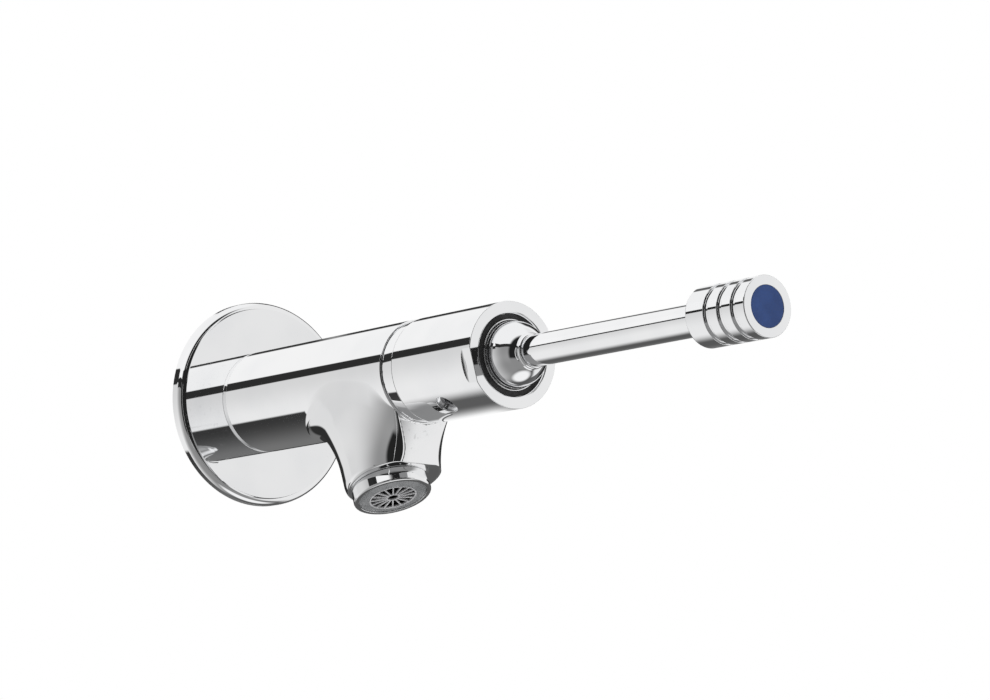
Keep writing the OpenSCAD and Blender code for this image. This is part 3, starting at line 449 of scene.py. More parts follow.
ball = make_piece("ball_skin", [turned(ball_outline(), TAP_AXIS, closed=False)])
stand_in_for(ball, "lever_ball", "lever", "chrome")

# %% Rod
UNDERCUT_R, UNDERCUT_LEN = 4.6, 0.7
ROD_FIRST_S, ROD_LAST_S = ROOT_S - STUD_DEPTH + 0.2, KNOB_S + KNOB_STUD_DEPTH
rod = turned_piece("rod_skin", [
    (0, ROD_FIRST_S, 0.1), (STUD_R, ROD_FIRST_S, 0.2), (STUD_R, ROOT_S + 0.02, 0.02),
    (UNDERCUT_R, ROOT_S + 0.02, 0.05), (UNDERCUT_R, ROOT_S + UNDERCUT_LEN, 0.1),
    (ROD_R, ROOT_S + UNDERCUT_LEN, 0.2), (ROD_R, KNOB_S, 0.1), (STUD_R, KNOB_S, 0.02),
    (STUD_R, ROD_LAST_S, 0.2), (0, ROD_LAST_S, 0.1)], closed=False)
stand_in_for(rod, "lever_rod", "lever", "chrome")

# %% [markdown]
# The knob has a plain part and then three grooves with lands between them, so fingers find a grip.

# %% Knob
GROOVES, GROOVE_W, GROOVE_R, PLAIN_LEN, DISC_CLEAR = 3, 2.1, KNOB_R - 0.7, 0.31 * KNOB_LEN, 0.05


def knob_corners():
    """Corners of the knob: stud hole, rear face, plain length, grooves, front face and the disc's seat."""
    land = (KNOB_LEN - PLAIN_LEN - GROOVES * GROOVE_W) / GROOVES
    hole_r, hole_end = STUD_R + STUD_CLEAR, KNOB_S + KNOB_STUD_DEPTH + 0.2
    seat_r, seat_s = DISC_R + DISC_CLEAR, LEVER_END_S - DISC_T - DISC_CLEAR
    corners = [(0, hole_end, 0.1), (hole_r, hole_end, 0.1), (hole_r, KNOB_S, 0.1), (KNOB_R, KNOB_S, 0.5)]
    for k in range(GROOVES):
        start = KNOB_S + PLAIN_LEN + k * (GROOVE_W + land)
        corners += [(KNOB_R, start, 0.14), (GROOVE_R, start, 0.12), (GROOVE_R, start + GROOVE_W, 0.12),
                    (KNOB_R, start + GROOVE_W, 0.14)]
    return corners + [(KNOB_R, LEVER_END_S, 0.3), (seat_r, LEVER_END_S, 0.12), (seat_r, seat_s, 0.05),
                      (0, seat_s, 0.05)]


knob = turned_piece("knob_skin", knob_corners(), closed=False)
stand_in_for(knob, "lever_knob", "lever", "chrome")

# %% Blue disc
disc = turned_piece("blue_disc", [
    (0, LEVER_END_S - DISC_T, 0.1), (DISC_R, LEVER_END_S - DISC_T, 0.1), (DISC_R, LEVER_END_S, 0.15),
    (0, LEVER_END_S, 0.1)], closed=False)
stand_in_for(disc, "indicator_disc", "lever", "blue_plastic")

# %% [markdown]
# ## Body and spout
# Tube and spout are one casting. The tube is turned. The spout is an oval column on its own leaning axis, cut by a
# flat front, and it grows into the tube with a wide fillet behind and a flare in front. Such a form is easiest as
# a distance: a number for every point in space that is zero on the skin. Two distances join by a smooth minimum,
# whose width falls from the front of the spout to its back, and runs out towards the tube's middle and the seam.
# Rays from the place where the two axes meet then find the skin, all at once, by halving.

# %% The spout's own axis
SPOUT_TILT = np.radians(21.8)
SPOUT_UP = np.array([0, np.sin(SPOUT_TILT), np.cos(SPOUT_TILT)])
SPOUT_FRONT = np.array([0, -np.cos(SPOUT_TILT), np.sin(SPOUT_TILT)])
SPOUT_REACH = 43
AXES_MEET = np.array([0, -63.9, 0])
AERATOR_FACE = AXES_MEET - SPOUT_REACH * SPOUT_UP
SPOUT_AXIS = (AERATOR_FACE, SPOUT_UP, RIGHT, SPOUT_FRONT)
HALF_W, BACK_DEPTH, FRONT_DEPTH, MIDDLE_FORE = 15.5, 18.6, 15.0, 3.0
FRONT_FLAT, FLAT_LEAN, EDGE_H, EDGE_LEAN = 16.4, np.radians(29.2), 4.3, np.radians(7.8)
FILLET_R, FILLET_H, FLARE_R, SIDE_FLARE_H, SIDE_FLARE_LEN, COLUMN_DROP = 22.0, 15.5, 12.0, 12.0, 16.0, 1.5
FLAT_BLEND, JOIN_FRONT, JOIN_BACK, JOIN_FADE_Z, JOIN_FADE_S = 0.9, 2.4, 0.8, 12, 8
print("aerator's face at", np.round(AERATOR_FACE, 2), "mm")


# %% Smooth steps and smooth unions
def ease(t):
    """Smooth step: 3 t^2 - 2 t^3 with t held between 0 and 1."""
    t = np.clip(t, 0, 1)
    return t * t * (3 - 2 * t)


def soft_union(a, b, width):
    """The smaller of two distances, with a blend of the given width where they are about equal."""
    h = np.clip(0.5 + 0.5 * (b - a) / width, 0, 1)
    return b + (a - b) * h - width * h * (1 - h)


# %% Distance to the body's skin
def column_distance(x, ahead, h):
    """How far a point is outside the spout's oval. At height h the half width eases out to the tube's, the back
    follows a quarter arc out to the tube's underside, and the front flares as h^2 / (2 FLARE_R)."""
    half_w = HALF_W + (TUBE_R - 0.25 - HALF_W) * ease((h - SIDE_FLARE_H) / SIDE_FLARE_LEN)
    run = np.clip(h - FILLET_H, 0, 0.99 * FILLET_R * np.cos(SPOUT_TILT))
    back = BACK_DEPTH + FILLET_R - np.sqrt(FILLET_R ** 2 - run ** 2)
    depth = np.where(ahead > 0, FRONT_DEPTH + np.maximum(h, 0) ** 2 / (2 * FLARE_R), back)
    reach = np.sqrt((x / half_w) ** 2 + (ahead / depth) ** 2) + TINY
    slope = np.sqrt((x / half_w ** 2) ** 2 + (ahead / depth ** 2) ** 2) / reach + TINY
    return (reach - 1) / slope


def body_distance(point):
    """Distance to the skin of tube and spout together, negative inside: the column is cut by the leaning flat and a
    little below the tube's axis, and joined to the tube, and the seam's plane cuts both."""
    relative = point - AERATOR_FACE
    x, h, forward = relative[..., 0], relative @ SPOUT_UP, relative @ SPOUT_FRONT
    z, s = point[..., 2], -point[..., 1]
    tube = np.hypot(x, z) - TUBE_R
    flat = (forward - FRONT_FLAT) * np.cos(FLAT_LEAN) - (h - EDGE_H) * np.sin(FLAT_LEAN)
    column = -soft_union(-column_distance(x, forward - MIDDLE_FORE, h), -flat, FLAT_BLEND)
    column = np.maximum(column, z + COLUMN_DROP)
    backwards = np.clip((MIDDLE_FORE - forward) / np.hypot(x, forward - MIDDLE_FORE + TINY), 0, 1)
    width = JOIN_FRONT - (JOIN_FRONT - JOIN_BACK) * backwards ** 2
    width = width * ease(-z / JOIN_FADE_Z) * ease((SEAM_S - s) / JOIN_FADE_S) + 0.02
    return np.maximum(soft_union(tube, column, width), s - SEAM_S + 0.1)


# %% [markdown]
# The skirt is the spout's skin, from its lower edge up into the tube. Where it has become the tube's own skin it
# sinks a little, and deeper beside the seam, so that two skins never lie in the same place.

# %% Skirt: the spout's skin
ROWS, COLUMNS, HALVINGS = 160, 320, 46
LAST_RAY, NEAREST, FARTHEST, SLOPE_STEP = np.radians(88), 5.0, 90.0, 0.01
outline_turn = np.linspace(0, 2 * np.pi, COLUMNS, endpoint=False)


def lower_edge(a):
    """The spout's lower edge at each angle a from the front: an oval at EDGE_H, with a soft straight front, raised
    towards the back by the edge's lean."""
    x = HALF_W * np.sin(a)
    depth = np.where(np.cos(a) > 0, FRONT_DEPTH + EDGE_H ** 2 / (2 * FLARE_R), BACK_DEPTH)
    forward = soft_union(MIDDLE_FORE + depth * np.cos(a), FRONT_FLAT + 0 * a, 1.0)
    h = EDGE_H + (FRONT_FLAT - forward) * np.tan(EDGE_LEAN)
    return AERATOR_FACE + x[:, None] * RIGHT + forward[:, None] * SPOUT_FRONT + h[:, None] * SPOUT_UP


def skirt_grid():
    """Rays leave the point where the axes meet. Row v turns them from the lower edge up past the fillet, and each
    point is where the body's distance along its ray is zero. The normal is that distance's slope."""
    edge = lower_edge(outline_turn) - AXES_MEET
    down = -SPOUT_UP
    drop = edge @ down
    outward = edge - drop[:, None] * down
    first = np.arctan2(np.linalg.norm(outward, axis=1), drop)
    outward = outward / np.linalg.norm(outward, axis=1)[:, None]
    v = np.linspace(0, 1, ROWS)[:, None]
    turn = first * (1 - v) + LAST_RAY * v
    ray = np.cos(turn)[..., None] * down + np.sin(turn)[..., None] * outward
    near, far = np.full(turn.shape, NEAREST), np.full(turn.shape, FARTHEST)
    for _ in range(HALVINGS):
        middle = (near + far) / 2
        inside = body_distance(AXES_MEET + middle[..., None] * ray) < 0
        near, far = np.where(inside, middle, near), np.where(inside, far, middle)
    point = AXES_MEET + near[..., None] * ray
    normal = np.stack([body_distance(point + step) - body_distance(point - step)
                       for step in SLOPE_STEP * np.eye(3)], -1)
    return point, normal / np.linalg.norm(normal, axis=-1)[..., None]


# %% Skirt sunk under the tube
SINK, SEAM_SINK, SEAM_BACK = 0.08, 0.7, 1.5
skirt, skirt_normals = skirt_grid()
off_tube = np.hypot(skirt[..., 0], skirt[..., 2]) - TUBE_R
beside_seam = ease((-skirt[..., 1] - SEAM_S + 2.2) / 1.2)
sink = np.where(np.abs(off_tube) < 1e-4, SINK + SEAM_SINK * beside_seam, 0.0)
skirt = skirt - sink[..., None] * skirt_normals * [1, 0, 1]
in_seam = (-skirt[..., 1] > SEAM_S - 0.12) & (off_tube < -0.4)
skirt[..., 1] += np.where(in_seam, SEAM_BACK, 0)
print("skirt height", round(float(np.ptp(skirt[..., 2])), 1), "mm")

# %% [markdown]
# Under the spout the metal rolls in from the lower edge to a round seat for the aerator. Each row of that roll is
# part of a quarter ellipse between the edge and the seat, and it first dips half a millimetre, which makes the
# rounded bead along the edge.

# %% Underside of the spout
SEAT_R, SEAT_H, MOUTH_THREAD_R, MOUTH_END_H, EDGE_BEAD, ROLL_ROWS = 13.25, 4.8, 11.95, 14.5, 0.45, 22


def spout_circle(r, h):
    """A row of points on a circle of radius r at height h over the aerator's face."""
    round_way = np.sin(outline_turn)[:, None] * RIGHT + np.cos(outline_turn)[:, None] * SPOUT_FRONT
    return AERATOR_FACE + h * SPOUT_UP + r * round_way


low, seat = skirt[0], spout_circle(SEAT_R, SEAT_H)
q = (np.linspace(0, 1, ROLL_ROWS) ** 1.5 * np.pi / 2)[:, None, None]
rise = ((seat - low) @ SPOUT_UP)[:, None]
sideways = (seat - low) - rise * SPOUT_UP
roll = low + (1 - np.cos(q)) * sideways + (np.sin(q) * rise - EDGE_BEAD * np.sin(2 * q)) * SPOUT_UP
roll_normals = grid_normals(roll)
roll_normals *= np.sign((roll_normals[-1] @ -SPOUT_UP).sum())
roll_normals[0] = skirt_normals[0]
well = np.stack([spout_circle(0, MOUTH_END_H), spout_circle(MOUTH_THREAD_R, MOUTH_END_H),
                 spout_circle(MOUTH_THREAD_R, SEAT_H + 0.04), spout_circle(SEAT_R - 0.04, SEAT_H + 0.04)])
well_normals = np.broadcast_to(-SPOUT_UP, well.shape)
lid = np.broadcast_to(AXES_MEET, (1, COLUMNS, 3))
shell = np.vstack([well, roll[:0:-1], skirt, lid])
shell_normals = np.vstack([well_normals, roll_normals[:0:-1], skirt_normals, np.broadcast_to(UP, lid.shape)])
print("rows of the spout:", len(shell))

# %% Body
FOOT, SEAM_CHAMFER, NIPPLE_STOP_S = 0.9, 0.25, NIPPLE_END_S + 0.1
tube_outline = rounded_outline([
    (NIPPLE_HOLE_R, BACK_S, 0.1), (TUBE_R - FOOT, BACK_S, 0.1), (TUBE_R, BACK_S + FOOT, 0.3),
    (TUBE_R, SEAM_S - SEAM_CHAMFER, 0.1), (TUBE_R - SEAM_CHAMFER, SEAM_S, 0.1), (SPIGOT_R, SEAM_S, 0.1),
    (SPIGOT_R, SPIGOT_FRONT_S, 0.2), (BORE_R, SPIGOT_FRONT_S, 0.2), (BORE_R, BORE_S, 0.1),
    (WATERWAY_R, BORE_S, 0.1), (WATERWAY_R, NIPPLE_STOP_S, 0.1), (NIPPLE_HOLE_R, NIPPLE_STOP_S, 0.1)])
body = make_piece("body_skin", [turned(tube_outline, TAP_AXIS, 240), (shell, shell_normals, False)])
stand_in_for(body, "tap_body", "tap", "chrome")

# %% [markdown]
# ## Aerator
# A chrome ring screws into the spout. A grey insert sits in it, a little back from its rim, with a shallow cone for
# a face. The spokes and screens behind are the CAD's own solids, because their flat forms are already right.

# %% Aerator ring
AERATOR_R, RECESS_R, RECESS_H, RING_BORE_R, RING_THREAD_R, RING_END_H = 13.05, 11.4, 1.6, 10.5, 11.9, 12.5
aerator_ring = turned_piece("aerator_ring_skin", [
    (RING_BORE_R, RECESS_H, 0.05), (RECESS_R, RECESS_H, 0.05), (RECESS_R, 0.0, 0.15), (AERATOR_R, 0.0, 0.7),
    (AERATOR_R, SEAT_H, 0.3), (RING_THREAD_R, SEAT_H, 0.1), (RING_THREAD_R, RING_END_H, 0.1),
    (RING_BORE_R, RING_END_H, 0.1)], SPOUT_AXIS, steps=9)
stand_in_for(aerator_ring, "aerator_housing", "tap", "chrome")

# %% Aerator insert
OUTLET_R, OUTLET_RIM, OUTLET_H, INSERT_IN_R, INSERT_OUT_R, INSERT_END_H = 8.05, 0.2, 1.2, 9.25, 10.45, 12.3
LIP_H, CONE_R, CONE_H, INSERT_RIM_R, RIM_H, INSERT_STEP_H = -0.15, 11.05, 0.42, 11.35, 0.45, 1.55
insert = turned_piece("aerator_insert_skin", [
    (INSERT_IN_R, INSERT_END_H, 0.1), (INSERT_IN_R, OUTLET_H, 0.1), (OUTLET_R, OUTLET_H, 0.05),
    (OUTLET_R, LIP_H, 0.06), (OUTLET_R + OUTLET_RIM, LIP_H, 0.06), (CONE_R, CONE_H, 0.1), (INSERT_RIM_R, RIM_H, 0.06),
    (INSERT_RIM_R, INSERT_STEP_H, 0.05), (INSERT_OUT_R, INSERT_STEP_H, 0.05), (INSERT_OUT_R, INSERT_END_H, 0.1)],
    SPOUT_AXIS)
stand_in_for(insert, "aerator_cup", "tap", "grey_plastic")

# %% [markdown]
# ## Node groups for the finishes
# Several finishes share the same kinds of detail, so each kind is a node group with named sockets. Clouds vary a
# colour and a roughness over some millimetres, as handling and plating baths do. Grain is the fine texture of a
# mould or of rubber. Hairlines are the faint scratches that wiping leaves. Lathe rings are the tool's marks. Depth
# shade darkens a colour with the height over the aerator's face, as the gaps between deep spokes look.

# %% Node helpers
def feed(tree, socket_in, item):
    """Give an input a number, a colour or a vector, or link another node's output to it."""
    if isinstance(item, bpy.types.NodeSocket):
        tree.links.new(item, socket_in)
    else:
        socket_in.default_value = item


def add_math(tree, operation, *items):
    """One Math node and its output."""
    node = tree.nodes.new("ShaderNodeMath")
    node.operation = operation
    for socket_in, item in zip(node.inputs, items):
        feed(tree, socket_in, item)
    return node.outputs[0]


def add_noise(tree, vector, scale, detail=3.0):
    """One noise texture and its value."""
    noise = tree.nodes.new("ShaderNodeTexNoise")
    for label, item in (("Detail", detail), ("Vector", vector), ("Scale", scale)):
        feed(tree, noise.inputs[label], item)
    return noise.outputs["Fac"]


def add_range(tree, value, *limits):
    """Map a value from start..stop to low..high, the four limits, with a smooth step."""
    node = tree.nodes.new("ShaderNodeMapRange")
    node.interpolation_type = "SMOOTHSTEP"
    for label, item in zip(("Value", "From Min", "From Max", "To Min", "To Max"), (value, *limits)):
        feed(tree, node.inputs[label], item)
    return node.outputs["Result"]


def add_mix(tree, factor, first, second):
    """A mix of two colours."""
    node = tree.nodes.new("ShaderNodeMix")
    node.data_type = "RGBA"
    for label, item in (("Factor", factor), ("A", first), ("B", second)):
        feed(tree, node.inputs[label], item)
    return node.outputs["Result"]


# %% Group helpers
FLOAT, COLOUR = "NodeSocketFloat", "NodeSocketColor"


def new_group(name, inputs, outputs):
    """An empty node group with named sockets, given as (label, kind, value) and (label, kind). Also what enters it,
    what leaves it, and its Object coordinates, which stay with a piece when it moves."""
    group = bpy.data.node_groups.new(name, "ShaderNodeTree")
    for label, kind, value in inputs:
        group.interface.new_socket(label, in_out="INPUT", socket_type=kind).default_value = value
    for label, kind in outputs:
        group.interface.new_socket(label, in_out="OUTPUT", socket_type=kind)
    enter, leave = group.nodes.new("NodeGroupInput"), group.nodes.new("NodeGroupOutput")
    return group, enter.outputs, leave.inputs, group.nodes.new("ShaderNodeTexCoord").outputs["Object"]


def stretched(tree, place, scale, rotation=(0, 0, 0)):
    """Coordinates scaled and turned by a Mapping node, which draws a pattern out in one direction."""
    node = tree.nodes.new("ShaderNodeMapping")
    for label, item in (("Vector", place), ("Scale", scale), ("Rotation", rotation)):
        feed(tree, node.inputs[label], item)
    return node.outputs["Vector"]


# %% Clouds
clouds, enter, leave, place = new_group(
    "clouds", [("Scale", FLOAT, 60), ("Light", COLOUR, (1, 1, 1, 1)), ("Dark", COLOUR, (0, 0, 0, 1)),
               ("Smooth", FLOAT, 0.1), ("Rough", FLOAT, 0.5)], [("Colour", COLOUR), ("Roughness", FLOAT)])
cloud = add_noise(clouds, place, enter["Scale"])
share = add_range(clouds, cloud, 0.35, 0.68, 0.0, 1.0)
feed(clouds, leave["Colour"], add_mix(clouds, share, enter["Light"], enter["Dark"]))
feed(clouds, leave["Roughness"], add_range(clouds, cloud, 0.3, 0.7, enter["Smooth"], enter["Rough"]))

# %% Grain
grain, enter, leave, place = new_group("grain", [("Scale", FLOAT, 2000)], [("Height", FLOAT)])
feed(grain, leave["Height"], add_noise(grain, place, enter["Scale"], 2.0))

# %% Hairlines
hairlines, enter, leave, place = new_group("hairlines", [("Scale", FLOAT, 500), ("Amount", FLOAT, 0.02)],
                                           [("Mask", FLOAT)])
drawn_out = stretched(hairlines, place, (1.0, 0.03, 1.0), (0.35, 0.2, 0.5))
line = add_noise(hairlines, drawn_out, enter["Scale"], 1.0)
feed(hairlines, leave["Mask"], add_range(hairlines, line, 0.62, 0.72, 0.0, enter["Amount"]))

# %% Lathe rings
rings, enter, leave, place = new_group("lathe_rings", [("Rings per metre", FLOAT, 4000)], [("Height", FLOAT)])
squeezed = stretched(rings, place, (0.01, 1.0, 0.01))
feed(rings, leave["Height"], add_noise(rings, squeezed, enter["Rings per metre"], 2.0))

# %% Depth shade
DEEP_BLACK = (0.004, 0.004, 0.004, 1)
depth_shade, enter, leave, place = new_group(
    "depth_shade", [("Colour", COLOUR, (1, 1, 1, 1)), ("First", FLOAT, 0.0), ("Last", FLOAT, 0.001)],
    [("Colour", COLOUR)])
dot = depth_shade.nodes.new("ShaderNodeVectorMath")
dot.operation = "DOT_PRODUCT"
feed(depth_shade, dot.inputs[0], place)
feed(depth_shade, dot.inputs[1], tuple(SPOUT_UP))
height = add_math(depth_shade, "SUBTRACT", dot.outputs["Value"], float(AERATOR_FACE @ SPOUT_UP) * MM)
share = add_range(depth_shade, height, enter["First"], enter["Last"], 0.0, 1.0)
feed(depth_shade, leave["Colour"], add_mix(depth_shade, share, enter["Colour"], DEEP_BLACK))
print("node groups:", [group.name for group in bpy.data.node_groups])

# %% [markdown]
# ## Materials
# Each finish is one Principled shader with the groups' values plugged in. Chrome is almost a perfect mirror, and
# only its roughness drifts. Brass and steel show lathe rings. Rubber and plastic scatter light and have grain. The
# colour of the aerator's spokes also passes through the depth shade, so that only their front edges are light.

# %% Finish helper
def place_group(tree, group, **values):
    """A group node in a material with its inputs set."""
    node = tree.nodes.new("ShaderNodeGroup")
    node.node_tree = group
    for label, value in values.items():
        node.inputs[label.replace("_", " ")].default_value = value
    return node


def finish(name, metallic, light, dark, scale, smooth, rough, height=None, depth=0.0, scratches=0.0):
    """A material: clouds give its colour and roughness, height is rings or grain with a scale, for a bump of the
    given depth in metres, and scratches add hairlines to the roughness."""
    material = bpy.data.materials.new(name)
    material.use_nodes = True
    tree = material.node_tree
    shader = tree.nodes["Principled BSDF"]
    shader.inputs["Metallic"].default_value = metallic
    cloud = place_group(tree, clouds, Scale=scale, Light=(*light, 1), Dark=(*dark, 1), Smooth=smooth, Rough=rough)
    tree.links.new(cloud.outputs["Colour"], shader.inputs["Base Color"])
    roughness = cloud.outputs["Roughness"]
    if scratches:
        lines = place_group(tree, hairlines, Scale=500, Amount=scratches)
        roughness = add_math(tree, "ADD", roughness, lines.outputs["Mask"])
    tree.links.new(roughness, shader.inputs["Roughness"])
    if height:
        bump = tree.nodes.new("ShaderNodeBump")
        bump.inputs["Strength"].default_value = 1.0
        bump.inputs["Distance"].default_value = depth
        label, value = height
        marks = (place_group(tree, rings, Rings_per_metre=value) if label == "rings"
                 else place_group(tree, grain, Scale=value))
        tree.links.new(marks.outputs["Height"], bump.inputs["Height"])
        tree.links.new(bump.outputs["Normal"], shader.inputs["Normal"])
    return material


# %% The finishes
chrome = finish("polished_chrome", 1, (0.955, 0.957, 0.962), (0.915, 0.92, 0.93), 45, 0.012, 0.035, scratches=0.03)
brass = finish("turned_brass", 1, (0.68, 0.47, 0.20), (0.48, 0.30, 0.11), 70, 0.22, 0.42, ("rings", 5000), 4e-5)
steel = finish("drawn_steel", 1, (0.52, 0.52, 0.53), (0.36, 0.36, 0.37), 90, 0.2, 0.38, ("rings", 7000), 2e-5)
# The screens' near black colour is painted shade: deep in the aerator, the gaps between the spokes look black.
painted_shade_screen = finish("woven_screen_painted_shade", 1, (0.05, 0.05, 0.052), (0.02, 0.02, 0.02), 400, 0.45, 0.7, ("grain", 6000), 4e-5)
rubber = finish("black_rubber", 0, (0.016, 0.016, 0.017), (0.008, 0.008, 0.008), 200, 0.45, 0.7, ("grain", 4000), 3e-5)
foam = finish("foam_rubber", 0, (0.035, 0.035, 0.037), (0.012, 0.012, 0.012), 900, 0.8, 0.95, ("grain", 1400), 4e-4)
white = finish("white_moulding", 0, (0.80, 0.80, 0.78), (0.70, 0.70, 0.68), 60, 0.3, 0.45, ("grain", 3000), 2e-5)
grey = finish("grey_moulding", 0, (0.23, 0.235, 0.24), (0.18, 0.185, 0.19), 250, 0.28, 0.42, ("grain", 5000), 2e-5)
spokes = finish("spoke_moulding", 0, (0.50, 0.50, 0.51), (0.40, 0.40, 0.41), 250, 0.25, 0.4, ("grain", 5000), 2e-5)
blue = finish("satin_blue", 0, (0.008, 0.038, 0.155), (0.006, 0.031, 0.130), 180, 0.3, 0.42, ("grain", 3500), 2e-5)
print("finishes:", [material.name for material in (chrome, brass, steel, painted_shade_screen, rubber, foam, white, grey,
                                                   spokes, blue)])

# %% Spokes that darken with depth
spoke_tree = spokes.node_tree
shade = place_group(spoke_tree, depth_shade, First=-0.1 * MM, Last=0.6 * MM)
base_colour = spoke_tree.nodes["Principled BSDF"].inputs["Base Color"]
feed(spoke_tree, shade.inputs["Colour"], base_colour.links[0].from_socket)
feed(spoke_tree, base_colour, shade.outputs["Colour"])

# %% Finishes on the pieces
node_finishes = {
    "inlet_nipple seat_ring cartridge_cap washer_nut": brass,
    "strainer_mesh aerator_screens": painted_shade_screen,
    "return_spring plunger_spring sleeve_grub_screw plunger thrust_dish": steel,
    "nipple_washer seat_o_ring cartridge_o_rings plunger_o_ring ball_wiper_ring aerator_seal": rubber,
    "piston_lip_seal seat_washer": rubber, "plate_seal": foam,
    "strainer_frame cartridge_shell flow_regulator piston push_cup ball_liner": white,
    "aerator_cup": grey, "aerator_grid": spokes, "indicator_disc": blue,
    "wall_plate tap_body collar_ring head_sleeve socket_ring aerator_housing lever_ball lever_rod lever_knob": chrome}
for names, material in node_finishes.items():
    for name in names.split():
        nodes[name].data.materials.clear()
        nodes[name].data.materials.append(material)
for slot, material in (("chrome", chrome), ("brass", brass), ("grey_plastic", grey), ("blue_plastic", blue)):
    for piece in pieces[slot]:
        piece.data.materials.append(material)
print("finished nodes:", sum(len(names.split()) for names in node_finishes), "of", len(nodes))

# %% [markdown]
# ## Springs
# Both springs stand against a fixed face at their wall end, and their other end moves with the piece that they push.
# Here each spring only gets a mesh of its own, and its box is read; the script doesn't squash it.

# %% Springs with meshes of their own
for name, joint in (("return_spring", "piston_slide"), ("plunger_spring", "plunger_press")):
    low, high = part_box(name)
    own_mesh(nodes[name])

# %% [markdown]
# ## Studio
# Chrome has no look of its own: it shows the studio. The studio is a world of long soft boxes and black cards that
# lie along the tap, so each turned piece shows straight bands. Where several cards overlap, each is laid over the
# ones before it with a soft edge. Greys are given as they look in the picture, from 0 to 255.

# %% World helpers
world = bpy.data.worlds.new("studio")
bpy.context.scene.world = world
world.use_nodes = True
tree = world.node_tree
tree.nodes.clear()


def math_node(operation, *items):
    """One Math node of the world."""
    return add_math(tree, operation, *items)


def smooth_map(value, start, stop, low=0.0, high=1.0):
    """A smooth step of a value from start to stop."""
    return add_range(tree, value, start, stop, low, high)


def band(value, start, stop, soft):
    """1 between start and stop, with soft edges. Start and stop are numbers."""
    rise = smooth_map(value, start - soft, start + soft)
    return math_node("MULTIPLY", rise, smooth_map(value, stop - soft, stop + soft, 1, 0))


def inverse(mask):
    """1 where the mask is 0, and 0 where it is 1."""
    return math_node("SUBTRACT", 1.0, mask)


def layer(under, level, *masks):
    """under * (1 - mask) + level * mask, where several masks multiply."""
    mask = masks[0]
    for other in masks[1:]:
        mask = math_node("MULTIPLY", mask, other)
    return math_node("ADD", math_node("MULTIPLY", under, inverse(mask)), math_node("MULTIPLY", level, mask))


def weighted(*pairs):
    """The sum of value * weight over the pairs."""
    total, *terms = [math_node("MULTIPLY", value, weight) for value, weight in pairs]
    for term in terms:
        total = math_node("ADD", total, term)
    return total


# %% Greys of the picture
def linear_grey(level):
    """A grey of the picture, 0 to 255, as linear light."""
    c = level / 255
    return ((c + 0.055) / 1.055) ** 2.4 if c > 0.04 else c / 12.92


def grey_map(value, start, stop, low, high):
    """A smooth step between two greys of the picture."""
    return smooth_map(value, start, stop, linear_grey(low), linear_grey(high))


WHITE_BOX, SIDE_BOX, FRONT_BOX, PLATE_BOX, LOW_LAMP, END_BOX = 247, 238, 236, 233, 250, 226
BLACK_CARD, DARK_CARD, SLEEVE_CARD, CAMERA_SIDE = 45, 50, 95, 34

# %% [markdown]
# The direction of a reflection is given by its turn round the tap's axis and by its polar angle off that axis. One
# turn starts on the right and goes over the tap, and the other starts on the left and goes under it. A cylinder
# along the axis keeps the polar angle of the camera's ray, which grows from 34 degrees at the wall to 43 at the
# knob. So a range of polar angles is seen on one length of the tap, and other angles only on forms that turn out of
# the axis: the spout, the ball and the rounded edges. The plate's flat face shows a thin ring, which is kept apart.

# %% Directions
parts = tree.nodes.new("ShaderNodeSeparateXYZ")
feed(tree, parts.inputs[0], tree.nodes.new("ShaderNodeTexCoord").outputs["Generated"])
dx, dy, dz = parts.outputs
DEGREES = 180 / np.pi
over_turn = math_node("MULTIPLY", math_node("ARCTAN2", dz, dx), DEGREES)
over_turn = math_node("MODULO", math_node("ADD", over_turn, 360.0), 360.0)
under_turn = math_node("MODULO", math_node("ADD", over_turn, 180.0), 360.0)
along = math_node("ABSOLUTE", dy)
polar = math_node("MULTIPLY", math_node("ARCCOSINE", along), DEGREES)
wall_angle = math_node("MULTIPLY", math_node("ARCCOSINE", dy), DEGREES)
at_wall = smooth_map(polar, 35.9, 36.5, 1, 0)
at_sleeve = smooth_map(polar, 38.4, 39.0)
past_plate = band(polar, 36.3, 43.5, 0.3)
plate_face = math_node("MAXIMUM", band(polar, 33.5, 35.5, 0.3),
                       math_node("MULTIPLY", band(polar, 32.5, 36.3, 0.2), band(under_turn, 165, 222, 6)))

# %% [markdown]
# A white box hangs over the tap, and a side box stands on its left. The narrow gap between them is black and gives
# the black line along the tube and the sleeve. The side box fades away from the wall, so the spout and the ball get
# their shading.

# %% Soft boxes and the gap between them
gap = weighted((dx, 0.3535), (dz, 0.918), (along, -0.178))
side_box = grey_map(over_turn, 155, 225, 216, SIDE_BOX)
low_fade = layer(1.0, smooth_map(dz, -0.2, -0.7, 1, 0.78), smooth_map(polar, 43, 50))
fading = math_node("MULTIPLY", smooth_map(wall_angle, 41, 106, 1, 0.4), low_fade)
fading = layer(fading, 1.0, plate_face)
side_box = math_node("MULTIPLY", side_box, fading)
light = layer(linear_grey(WHITE_BOX), side_box, smooth_map(gap, -0.08, -0.1), smooth_map(dx, 0.1, 0.0))
light = layer(light, linear_grey(BLACK_CARD), band(gap, -0.094, 0.079, 0.008), smooth_map(dx, -0.05, -0.15))

# %% [markdown]
# Under the tap lies the shaded floor, dark straight below and lighter towards the right. The sleeve and the wall end
# of the tube show it at other turns than the tube's middle, so each of them has its own edges.

# %% The floor in shade
shade = grey_map(under_turn, 116, 178, 92, 250)
light = layer(light, shade, smooth_map(under_turn, 66, 97), smooth_map(under_turn, 176, 184, 1, 0))
shade = grey_map(under_turn, 130, 180, 88, 118)
shade = layer(math_node("MULTIPLY", fading, linear_grey(SIDE_BOX)), shade, smooth_map(under_turn, 72, 114))
light = layer(light, shade, at_sleeve, band(under_turn, 60, 188, 4))
shade = grey_map(under_turn, 56, 150, 55, 115)
light = layer(light, shade, at_wall, band(under_turn, 51.5, 200, 2.5))

